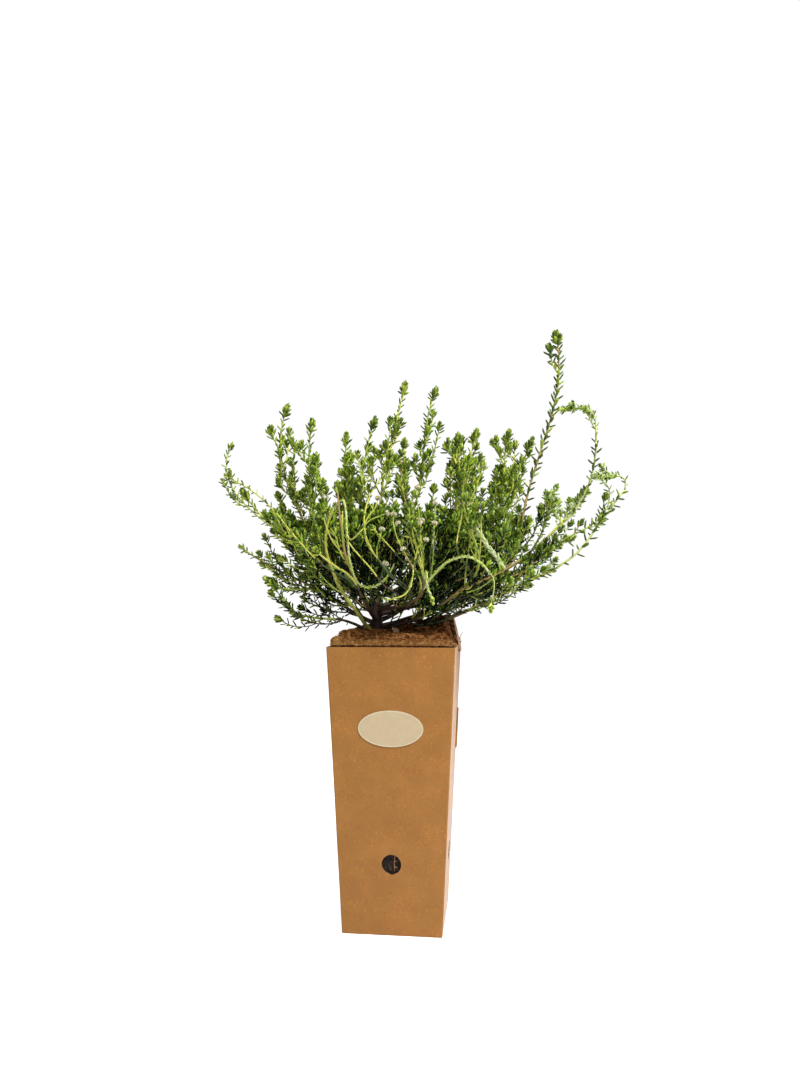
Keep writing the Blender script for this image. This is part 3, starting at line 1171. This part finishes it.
# Finer shoots low on a leading stem and close under its tip: how many and up to which share,
# for a usual mass and for the crowded ones on the right
LOW_SHOOTS, LOW_CROWDED, LOW_FIRST = (4, 0.45), (6, 0.62), 0.04
TIP_SHOOTS, TIP_CROWDED, TIP_FIRST = (3, 0.75), (6, 0.92), 0.45
LOW_CLIMB, LOW_CLIMB_CROWDED = 0.55, 0.84
for index, (name, on, at, turn, reach, top, head, more) in enumerate(MASSES):
    curve = stem_curves[name]
    kind = next((kind for kind, names in KINDS.items() if name in names), "full")
    goes_on = more.get("goes_on", False)
    end = "goes_on" if goes_on else "crown" if kind in ("full", "lone") else "tuft"
    on_stem = on in stem_curves and at == 1
    thick = STEM_JOINED if on_stem else STEM_THICK
    thin = STEM_JOINED if goes_on else STEM_THIN
    if kind == "thread":
        thick, thin = THREAD_THICK, THREAD_THIN
    keep(curve, thick, thin, kind, 0.55 if kind == "open" else 0.05, end, on_stem)
    crowded = name.startswith("right")
    # A leading tip stands clear of its side shoots, but for the crowded ones on the right
    ceiling = top - (TIP_CLEAR if kind == "full" and not crowded else TIP_CLOSE)
    source_ceiling = ceiling if kind == "full" else math.inf
    climb = LOW_CLIMB_CROWDED if crowded else LOW_CLIMB
    low_ceiling = (1 - climb) * curve[0][2] + climb * top

    def fits_source(shoot, tip, name=name, ceiling=source_ceiling):
        """Whether a shoot keeps to its mass's space, as in the source."""
        points = along(shoot, np.linspace(0, 1, 21))[0][4:]
        low = tip[2] < ceiling
        return low and in_own_space(points, name, 1.5) and in_own_space(tip[None], name, 4.5)

    fits_reach = fits_under(ceiling)
    count, heads = more.get("side", SIDE_USUAL), more.get("heads", 0)
    first = more.get("first", SIDE_FIRST)
    source_shoots = side_shoots(curve, count, draws_from(index + 1), fits_source, first)
    source_shoots = source_shoots[: MOST_SIDES.get(kind)]
    for k, (share, shoot) in enumerate(source_shoots):
        side_kind, end = ("stalk", "head") if k < heads else (kind, "tuft")
        keep(shoot, TWIG_THICK, TWIG_THIN, side_kind, 0.12, end)
    if kind in ("bare", "thread", "lone"):
        continue
    # Finer shoots by the same rule: in the lower half of the leading stem, close under its
    # tip, and then on the side shoots
    draw = draws_from(500 + index)
    low_shoots, tips = [], []
    if kind == "full":
        count, last = LOW_CROWDED if crowded else LOW_SHOOTS
        fits_low = fits_under(low_ceiling)
        low_shoots = side_shoots(curve, count, draw, fits_low, LOW_FIRST, last, least=14, up=1.4)
    if kind == "pale" and not goes_on:
        fits_over = fits_under(top + TIP_OVER)
        tips = side_shoots(curve, 8, draw, fits_over, 0.35, 0.97, least=7, reach=24, up=0.5)
    elif kind == "hook" and not goes_on:
        tips = side_shoots(curve, 2, draw, fits_reach, 0.5, 0.8, least=8, reach=26, up=0.6)
    elif not goes_on:
        count, last = TIP_CROWDED if crowded else TIP_SHOOTS
        tips = side_shoots(curve, count, draw, fits_reach, TIP_FIRST, last, least=8, reach=28, splay=32)
    for share, shoot in low_shoots + tips:
        keep(shoot, TWIG_THICK * 0.9, TWIG_THIN, kind, 0.1)
    if kind == "hook":
        continue
    for share, shoot in source_shoots + low_shoots:
        twigs = side_shoots(shoot, 1, draw, fits_reach, 0.3, 0.6, least=9, reach=24, splay=34)
        for _, twig in twigs:
            keep(twig, TWIG_THICK * 0.7, TWIG_THIN * 0.9, kind, 0.1)

# Yellow stems in front of the crown's dark middle, thin and nearly bare, many with a flower
# head. Each: the limb or stem it grows on and where, its thickness, what ends it, and the
# stations that it passes: turn, reach and height, then the turn and rise of its heading there.
FRONT_STEMS = (
    (
        "left_line", "front_left_bough", 0.75, (1.25, 0.8), "brush",
        ((-131, 87, 382, -170, 46), (-152, 131, 445, 161, 41), (-163, 167, 472, 164, 30)),
    ),
    (
        "bold_left", "front_bough", 0.55, (1.15, 0.85), "tuft",
        ((-82, 92, 379, 170, 58), (-90, 99, 411, 180, 88), (-78, 92, 465, 0, 54)),
    ),
    ("bold_left_side", "bold_left", 1, (0.8, 0.6), "head", ((-77, 101, 424, 0, 22),)),
    ("loop_branch", "loop_fall", 0.6, (0.9, 0.8), "goes_on", ((-90, 99, 410, 20, 45),)),
    (
        "cross", "front_bough", 0.45, (0.95, 0.75), "goes_on",
        ((-83, 88, 362, 165, 50), (-100, 94, 395, 165, 50)),
    ),
    (
        "inner", "front_bough", 0.6, (0.85, 0.7), "goes_on",
        ((-81, 90, 377, 165, 50), (-90, 98, 409, 90, 86)),
    ),
    ("tan", "front_bough", 0.9, (0.85, 0.6), "tuft", ((-72, 94, 386, 170, 48), (-86, 99, 412, 175, 50))),
    (
        "low_arc", "trunk", 0.78, (1.0, 0.8), "goes_on",
        ((-78, 60, 341, -60, -10), (-71, 98, 340, 5, 12), (-62, 103, 368, 20, 84)),
    ),
    ("arc_right", "low_arc", 2, (0.75, 0.6), "head", ((-57, 111, 397, 20, 70),)),
    ("arc_middle", "low_arc", 2, (0.7, 0.55), "tuft", ((-60, 107, 396, 40, 82),)),
    ("arc_left", "low_arc", 2, (0.75, 0.6), "head", ((-68, 104, 388, 160, 72),)),
    (
        "bold_right", "front_right_bough", 1, (1.1, 0.8), "head",
        ((-42, 122, 395, 60, 75), (-40, 127, 435, 100, 86)),
    ),
)
# Single stalks, each with a flower head: what it grows on and where, its thickness at the foot,
# and its one station. The last four are at the back.
STALKS = (
    ("front_bough", 0.9, 0.75, (-64, 101, 413, 90, 80)),
    ("front_bough", 1, 0.75, (-57, 103, 417, 60, 80)),
    ("front_right_bough", 0.4, 0.75, (-51, 109, 414, 20, 76)),
    ("bold_left", 0, 0.7, (-80, 100, 407, 60, 70)),
    ("front_bough", 0.7, 0.75, (-57, 94, 451, 90, 84)),
    ("front_right_bough", 0.35, 0.75, (-49, 106, 435, 60, 80)),
    ("bold_left", 1, 0.7, (-82, 96, 439, 60, 74)),
    ("front_bough", 0.8, 0.75, (-73, 100, 422, 60, 80)),
    ("back_bough", 0.8, 0.75, (92, 99, 452, 110, 76)),
    ("back_bough", 0.6, 0.75, (70, 84, 446, 60, 80)),
    ("back_left_bough", 0.8, 0.75, (118, 92, 436, 140, 78)),
    ("back_right_bough", 0.7, 0.75, (52, 118, 441, 20, 80)),
)
STALK_THIN = 0.55
stalks = [("", on, at, (thick, STALK_THIN), "head", (tip,)) for on, at, thick, tip in STALKS]
front_stations = {}
for name, on, at, (thick, thin), end, stations in [*FRONT_STEMS, *stalks]:
    if on in front_stations:
        spot, way = front_stations[on][at]
    else:
        spot, way = spot_on({**limb_curves, **stem_curves}[on], at)
    ahead = [(place(*row[:3]), direction(*row[3:])) for row in stations]
    front_stations[name] = ahead
    towards = unit(ahead[0][0] - spot)
    way = unit(way + towards) if way @ towards > 0 else towards
    for number, (next_spot, next_way) in enumerate(ahead):
        ending = end if number == len(ahead) - 1 else "goes_on"
        on_stem = number > 0 or on in front_stations
        curve = bend(spot, way, next_spot, next_way, SLENDER_FULL)
        in_shade = number == 0 and len(ahead) > 1
        kind = "foot" if in_shade else {"head": "stalk", "brush": "reach"}.get(end, "yellow")
        keep(curve, thick, thin, kind, 0.1, ending, on_stem)
        spot, way, thick = next_spot, next_way, thin

# A thick green shoot hangs from the foot of the arching one
spot, _ = spot_on(stem_curves["front_arching"], 0.12)
bent, hung = place(-56, 109, 362), place(-52, 108, 336)
shoulder = bend(spot, direction(180, 10), bent, direction(180, -80), SLENDER_FULL)
keep(shoulder, 1.2, 1.2, "bare", 0.1, "goes_on")
keep(bend(bent, direction(180, -80), hung, direction(0, -78)), 1.2, 0.9, "bare", 0.05, "tuft", True)

# The outer arc's second stem runs flat under the arch's bough, meets the first where it bends
# up, and ends in a hook of its own. Leafy twigs stand on it, and the two boughs have leaves
spot, _ = spot_on(limb_curves["arch_bough"], 0.68)
arc_low, arc_turn, arc_end = place(3, 207, 406), place(4, 252, 440), place(4, 240, 474)
inner_low = bend(spot, unit(arc_low - spot), arc_low, direction(3, 28), SLENDER_FULL)
inner_arc = bend(arc_low, direction(3, 28), arc_turn, direction(5, 64), SLENDER_FULL)
inner_hook = bend(arc_turn, direction(5, 64), arc_end, direction(-170, 25), 0.5)
keep(inner_low, 1.2, 1.1, "sparse", 0.1, "goes_on")
keep(inner_arc, 1.1, 0.8, "sparse", 0.05, "goes_on", True)
keep(inner_hook, 0.8, 0.5, "pale", 0.05, "tuft", True)
keep(limb_curves["arc_bough"], 1, 1, "sparse", 0.55, "goes_on")
keep(limb_curves["arch_bough"], 1, 1, "sparse", 0.7, "goes_on")

draw, fits_air = draws_from(900), fits_under(math.inf)
for line, count, first in (
    (inner_low, 11, 0.1),
    (inner_arc, 4, 0.1),
    (limb_curves["arc_bough"], 9, 0.5),
    (limb_curves["arch_bough"], 4, 0.75),
):
    for _, twig in side_shoots(line, count, draw, fits_air, first, 0.98, least=9, reach=36, up=0.5):
        keep(twig, TWIG_THICK * 0.8, TWIG_THIN * 0.9, "hook", 0.1)

# Shoots that rise straight from the trunk and the boughs and fill the crown's middle. Near
# the trunk they stay above the bare legs of the boughs, in front they stay behind the stalks,
# and none stand on the outer part of the two long boughs that arch out to the right.
LEGS_CLEAR, LEGS_TOP = 50, 331
HOLLOW_FRONT, HOLLOW_LEFT, HOLLOW_RIGHT = -52, -74, 76
INNER_STEP, INNER_LEAST, LONG_BOUGH = 7.4, 4, 150
INNER_TOP, INNER_TOP_RIGHT, INNER_RIGHT, INNER_UNEVEN = 440, 436, 130, 34
inner_limbs = [("trunk", 16, 0.6, 1, 150, 0.5)]
for name, height, turn, reach, top, head in BOUGHS:
    last = 0.6 if reach > LONG_BOUGH and name != "tall_bough" else 0.98
    count = max(INNER_LEAST, int(along(limb_curves[name], 1)[2] * last / INNER_STEP))
    if name == "left_low_bough":
        count = INNER_LEAST
    inner_limbs.append((name, count, 0.08, last, 170, 1.3))
for index, (name, count, first, last, reach, up) in enumerate(inner_limbs):
    if name == "loop_stem":
        continue
    curve = limb_curves[name]
    draw = draws_from(700 + index)
    ceiling = INNER_TOP if curve[3][0] < INNER_RIGHT else INNER_TOP_RIGHT

    def fits_inside(shoot, tip, ceiling=ceiling):
        """Whether a shoot stays low, off the bare legs and out of the hollow in front."""
        points = along(shoot, np.linspace(0, 1, 9))[0]
        near = np.hypot(points[:, 0] - foot[0], points[:, 1] - foot[1]) < LEGS_CLEAR
        legs = (near & (points[:, 2] < LEGS_TOP))[3:].any()
        in_front = (points[:, 1] < HOLLOW_FRONT) & (points[:, 0] > HOLLOW_LEFT)
        in_hollow = (in_front & (points[:, 0] < HOLLOW_RIGHT))[3:].any() or hides_a_line(points)
        uneven = ceiling + INNER_UNEVEN * noise.noise(Vector(tip / 17))
        return above_mat(points) and tip[2] < uneven and not legs and not in_hollow

    inner = side_shoots(curve, count, draw, fits_inside, first, last, reach=reach, up=up)
    for share, shoot in inner:
        keep(shoot, TWIG_THICK, TWIG_THIN, "inner", 0.08)
        twigs = side_shoots(shoot, 2, draw, fits_inside, 0.15, 0.8, least=12, reach=70, up=0.7)
        for _, twig in twigs:
            keep(twig, TWIG_THICK * 0.75, TWIG_THIN * 0.9, "inner", 0.1)

# Green bark on the shoots: yellow-green to straw, smooth, with fine down that dulls it, and
# olive to brown on the older ones inside
STEM_TONES = {
    "yellow": "c9ca58",
    "green": "a6b748",
    "tan": "ad9054",
    "pale": "bac478",
    "olive": "424f26",
    "brown": "3e2e1f",
}
STEM_SHARES = {
    "inner": (0.14, 0.3, 0.08, 0, 0.4, 0.08),
    "full": (0.55, 0.35, 0.1, 0, 0, 0),
    "hook": (0.2, 0.4, 0.1, 0.3, 0, 0),
    "sparse": (0.15, 0.25, 0, 0.6, 0, 0),
    "lone": (0.4, 0.2, 0.4, 0, 0, 0),
    "reach": (0.9, 0, 0.1, 0, 0, 0),
    "thread": (0.4, 0, 0, 0.6, 0, 0),
    "pale": (0.2, 0.4, 0, 0.4, 0, 0),
    "open": (0.8, 0.2, 0, 0, 0, 0),
    "stalk": (0.3, 0.3, 0.1, 0, 0.3, 0),
    "yellow": (0.9, 0, 0.1, 0, 0, 0),
    "foot": (0, 0, 0, 0, 0.75, 0.25),
    "bare": (0, 0.1, 0, 0.9, 0, 0),
    "felted": (0, 0, 0, 1, 0, 0),
}
STEM_SWAY = 1.1
draw = np.random.default_rng(3)
stem_groups = {tone: [] for tone in STEM_TONES}
for shoot in shoots:
    points, _, length = along(shoot["curve"], np.linspace(0, 1, 13))
    sway = np.array([noise.noise_vector(Vector(p / 22)) for p in points]) * STEM_SWAY
    if not shoot["on_stem"]:
        sway[0] = 0
    shoot["length"], shoot["sway"] = length, sway
    radii = np.linspace(shoot["thick"], shoot["thin"], 13)
    tone = draw.choice(list(STEM_TONES), p=STEM_SHARES[shoot["kind"]])
    stem_groups[tone].append(((points + sway) / 1000, radii / 1000))
for tone, members in stem_groups.items():
    colour = from_hex(STEM_TONES[tone])
    down = (0.4, 0.0003)
    young_bark = mottled("young_bark_" + tone, 500, 2, relief=down, Base_Color=colour, Roughness=0.6)
    paths, radii = zip(*members)
    mesh = joined_mesh("shoots_" + tone, *tubes(paths, radii, 5), smooth=True)
    stems = new_piece("shoots_" + tone, mesh, young_bark)
    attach(stems, "root")
    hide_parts(*[row[0] for row in MASSES])

# Leaves: stiff, narrow and heath-like, 8 mm long, glossy dark green above with rolled
# margins and a paler underside, set in a spiral and crowded in a bright rosette at each tip.
# For each kind of shoot: the step from leaf to leaf, the splay at its foot and at its tip, and
# a leaf's length and width
LEAF_SIZES = {
    "inner": (3.1, 60, 48, 8.6, 2.3),
    "full": (3.6, 55, 46, 8.6, 2.5),
    "hook": (3.8, 62, 50, 7.4, 2.4),
    "sparse": (3.5, 72, 60, 9.6, 3.2),
    "lone": (2.8, 56, 48, 10.4, 3.4),
    "reach": (3.3, 58, 48, 6.8, 2.2),
    "thread": (9.0, 40, 30, 7.0, 2.2),
    "pale": (2.8, 62, 50, 7.2, 2.6),
    "open": (3.3, 56, 46, 8.0, 2.4),
    "stalk": (4.4, 50, 38, 4.6, 1.8),
    "yellow": (4.8, 50, 38, 4.4, 1.7),
    "foot": (9.0, 50, 38, 4.4, 1.8),
    "bare": (1.7, 34, 26, 4.4, 2.0),
    "felted": (0.8, 34, 26, 6.8, 2.4),
}
# What ends a shoot: how far its rosette reaches down it and how many leaves it has
ROSETTES = {"tuft": (7, 13), "brush": (7, 13), "crown": (12, 36)}
# A rosette's leaves stand open at its foot and close in and shorten towards its middle
ROSETTE_OPEN, ROSETTE_CLOSES, ROSETTE_LONG, ROSETTE_SHORTENS, ROSETTE_WIDE = 60, 42, 1.15, 0.45, 1.15
SPLAY_VARIES, CROWDING, ROSETTE_CROWDING = 6, 0.78, 0.8
LEAF_TONES = {
    "shade": ("0b1806", "14200c"),
    "deep": ("284a02", "52691a"),
    "mid": ("4b7406", "82982b"),
    "fresh": ("82aa0e", "b0c048"),
    "tip": ("9cbc18", "bece5a"),
    "felted": ("a0b474", "bcc898"),
}
LEAF_SHARES = {
    "inner": (0.22, 0.24, 0.3, 0.24, 0, 0),
    "full": (0, 0.26, 0.32, 0.34, 0.08, 0),
    "hook": (0, 0.42, 0.3, 0.13, 0, 0.15),
    "sparse": (0, 0.72, 0.2, 0.08, 0, 0),
    "lone": (0, 0.55, 0.3, 0.15, 0, 0),
    "reach": (0, 0.55, 0.3, 0.15, 0, 0),
    "thread": (0, 0, 0.4, 0.4, 0.2, 0),
    "pale": (0, 0.1, 0.3, 0.22, 0, 0.38),
    "open": (0, 0.4, 0.4, 0.2, 0, 0),
    "stalk": (0, 0.4, 0.35, 0.2, 0.05, 0),
    "yellow": (0, 0.3, 0.3, 0.3, 0.1, 0),
    "foot": (0.7, 0.3, 0, 0, 0, 0),
    "bare": (0, 0, 0.1, 0.3, 0.4, 0.2),
    "felted": (0, 0, 0, 0.15, 0, 0.85),
    "rosette": (0, 0.36, 0.36, 0.22, 0.06, 0),
}
# The heart of the crown, round which the leaves are old and dark, and how far that reaches
HEART, HEART_SCALE = np.array((6, -22, 334)), np.array((0.75, 0.8, 1.1))
HEART_NEAR, HEART_FAR = 62, 104


def tone_of(kind, point, draw):
    """A leaf's tone, by its kind of shoot and by how deep in the crown it grows."""
    inside = 1 - smoothstep(np.linalg.norm((point - HEART) * HEART_SCALE), HEART_NEAR, HEART_FAR)
    if kind in ("inner", "full", "open", "rosette") and draw.uniform() < inside:
        return draw.choice(("shade", "deep", "mid"), p=(0.8, 0.14, 0.06))
    return draw.choice(list(LEAF_TONES), p=LEAF_SHARES[kind])


def leaf_rows(shoot, draw):
    """Each leaf of a shoot: root, way, upper side, length, width, curl and tone."""
    rows = []
    length, curve = shoot["length"], shoot["curve"]
    step, low_splay, high_splay, usual_long, usual_wide = LEAF_SIZES[shoot["kind"]]
    rosette_long, rosette_leaves = ROSETTES.get(shoot["end"], (0, 0))
    tuft = min(rosette_long / length, 0.6)
    run = (1 - tuft - shoot["start"]) * length
    count = max(1, int(run / (step * draw.uniform(0.9, 1.15))))
    # Leaves crowd towards the tip
    spread = ((np.arange(count) + 0.5) / count) ** CROWDING
    shares = shoot["start"] + (1 - tuft - shoot["start"]) * spread
    kinds = [shoot["kind"]] * count
    if rosette_leaves:
        ahead = (np.arange(rosette_leaves) + 0.5) / rosette_leaves
        shares = np.concatenate((shares, 1 - tuft + tuft * ahead**ROSETTE_CROWDING))
        kinds += ["rosette"] * rosette_leaves
    points, ways, _ = along(curve, shares)
    sway = np.array(
        [np.interp(shares, np.linspace(0, 1, 13), shoot["sway"][:, axis]) for axis in range(3)]
    ).T
    turned = draw.uniform(0, 360)
    for point, way, share, kind in zip(points + sway, ways, shares, kinds):
        turned += SPIRAL + draw.normal(0, 9)
        if kind not in ("bare", "felted") and hides_a_line(point[None]):
            continue
        side = turned_about(unit(np.cross(way, SIDE_AXIS)), way, turned)
        if kind == "rosette":
            inner = (share - 1 + tuft) / tuft
            splay = ROSETTE_OPEN - ROSETTE_CLOSES * inner + draw.normal(0, SPLAY_VARIES)
            shorter = ROSETTE_LONG - ROSETTE_SHORTENS * inner
            long = usual_long * shorter * draw.uniform(0.85, 1.15)
            wide = usual_wide * ROSETTE_WIDE
        else:
            splay = low_splay + (high_splay - low_splay) * share + draw.normal(0, SPLAY_VARIES)
            long = usual_long * draw.uniform(0.8, 1.12)
            wide = usual_wide
        splay = math.radians(splay)
        out = way * math.cos(splay) + side * math.sin(splay)
        upper = unit(way - out * (way @ out))
        wide *= draw.uniform(0.85, 1.15)
        if kind == "rosette" and shoot["kind"] not in ("full", "inner", "open"):
            kind = shoot["kind"]
        tone = tone_of(kind, point, draw)
        rows.append((point, out, upper, long, wide, draw.normal(0.03, 0.03), tone))
    return rows


draw = np.random.default_rng(8)
leaves = {tone: [] for tone in LEAF_TONES}
for shoot in shoots:
    for row in leaf_rows(shoot, draw):
        leaves[row[-1]].append(row[:-1])

# A leaf's outline: a narrow foot, two four-cornered stations, plump as its margins are
# rolled under, and a blunt tip. Each corner: share of the length, of the width and height.
OUTLINE = np.array(
    [
        (0, 0, 0),
        (0.2, -0.44, 0), (0.2, 0, 0.26), (0.2, 0.44, 0), (0.2, 0, -0.36),
        (0.74, -0.5, 0), (0.74, 0, 0.24), (0.74, 0.5, 0), (0.74, 0, -0.36),
        (1, 0, -0.02),
    ]
)
UPPER_FACES = [(0, 1, 2), (0, 2, 3), (1, 5, 6), (1, 6, 2), (2, 6, 7), (2, 7, 3), (5, 9, 6), (6, 9, 7)]
LOWER_FACES = [(0, 4, 1), (0, 3, 4), (1, 4, 8), (1, 8, 5), (4, 3, 7), (4, 7, 8), (5, 8, 9), (8, 7, 9)]


def leaf_mesh(name, rows):
    """Leaves joined in one mesh, their upper faces in the first material."""
    roots, ways, uppers, longs, wides, curls = (np.array(part, float) for part in zip(*rows))
    sides = np.cross(uppers, ways)
    share = OUTLINE[None, :, 0]
    lift = OUTLINE[None, :, 2] * wides[:, None] + curls[:, None] * longs[:, None] * share**2 * 4
    corners = (
        roots[:, None]
        + ways[:, None] * (longs[:, None] * share)[..., None]
        + sides[:, None] * (wides[:, None] * OUTLINE[None, :, 1])[..., None]
        + uppers[:, None] * lift[..., None]
    )
    pattern = np.array(UPPER_FACES + LOWER_FACES)
    offsets = np.arange(len(rows))[:, None, None] * len(OUTLINE)
    faces = (offsets + pattern).reshape(-1, 3)
    tones = np.tile([0] * len(UPPER_FACES) + [1] * len(LOWER_FACES), len(rows))
    return joined_mesh(name, corners.reshape(-1, 3) / 1000, faces, tones)


MOST_LEAVES = 12000
for tone, rows in leaves.items():
    # Leathery cuticle above, glossy; below it the pale felt between the rolled margins
    gloss, cuticle = (0.15, 0.8) if tone == "shade" else (0.5, 0.46)
    surfaces = [
        mottled(
            f"leaf_{tone}_{side}", 900, 2, relief=(0.25, 0.0002), Base_Color=from_hex(colour),
            Roughness=rough, IOR=1.45, Specular_IOR_Level=gloss,
        )
        for side, colour, rough in zip(("upper", "under"), LEAF_TONES[tone], (cuticle, 0.75))
    ]
    for part in range(0, len(rows), MOST_LEAVES):
        name = f"leaves_{tone}_{part // MOST_LEAVES + 1}"
        mesh = leaf_mesh(name, rows[part : part + MOST_LEAVES])
        spray = new_piece(name, mesh, *surfaces)
        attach(spray, "root")
        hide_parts(*[row[0] for row in MASSES])

# Flower heads: buttons of tiny woolly cream florets round a greener eye, 5 to 6 mm across,
# one on each flowering stalk.
HEAD_ACROSS, FLORETS, FLORET_ROUND = 5.4, 30, 0.72
HEAD_LIFT, HEAD_DOME, HEAD_CLOSES, EYE_FROM = 0.35, 0.75, 1.7, 0.8
CORE_LIFT, CORE_SIZE = 0.25, 0.8
HEAD_WOOL = {"cream": "d6cfae", "straw": "b9b084", "eye": "8c9052"}
shape = bmesh.new()
bmesh.ops.create_icosphere(shape, subdivisions=1, radius=1)
bead = np.array([vert.co[:] for vert in shape.verts])
bead_faces = np.array([[vert.index for vert in face.verts] for face in shape.faces])
shape.free()
draw = np.random.default_rng(17)
beads = {tone: [] for tone in HEAD_WOOL}
for shoot in shoots:
    if shoot["end"] != "head":
        continue
    tip, way = spot_on(shoot["curve"], 1)
    tip = tip + shoot["sway"][-1]
    side = unit(np.cross(way, SIDE_AXIS))
    size = HEAD_ACROSS / 2 * draw.uniform(0.85, 1.15)
    for k in range(FLORETS):
        rise = 1 - HEAD_CLOSES * (k + 0.5) / FLORETS
        level = math.sqrt(1 - rise * rise)
        out = turned_about(side, way, k * SPIRAL)
        spot = tip + way * size * (HEAD_LIFT + HEAD_DOME * rise) + out * size * level
        tone = "eye" if rise > EYE_FROM else draw.choice(("cream", "straw"), p=(0.7, 0.3))
        radius = FLORET_ROUND * draw.uniform(0.8, 1.2)
        beads[tone].append(spot + bead * radius)
    beads["eye"].append(tip + way * size * CORE_LIFT + bead * size * CORE_SIZE)
for tone, members in beads.items():
    # Matted wool, dull and soft: no gloss, a little sheen
    fluff, colour = (0.6, 0.0003), from_hex(HEAD_WOOL[tone])
    wool = mottled(
        "flower_wool_" + tone, 1400, 2, relief=fluff, Base_Color=colour, Roughness=0.9, Sheen_Weight=0.4
    )
    offsets = np.arange(len(members))[:, None, None] * len(bead)
    faces = (offsets + bead_faces).reshape(-1, 3)
    mesh = joined_mesh("flower_heads_" + tone, np.concatenate(members) / 1000, faces, smooth=True)
    heads = new_piece("flower_heads_" + tone, mesh, wool)
    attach(heads, "root")

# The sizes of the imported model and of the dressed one, for the builder to compare
low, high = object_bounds()
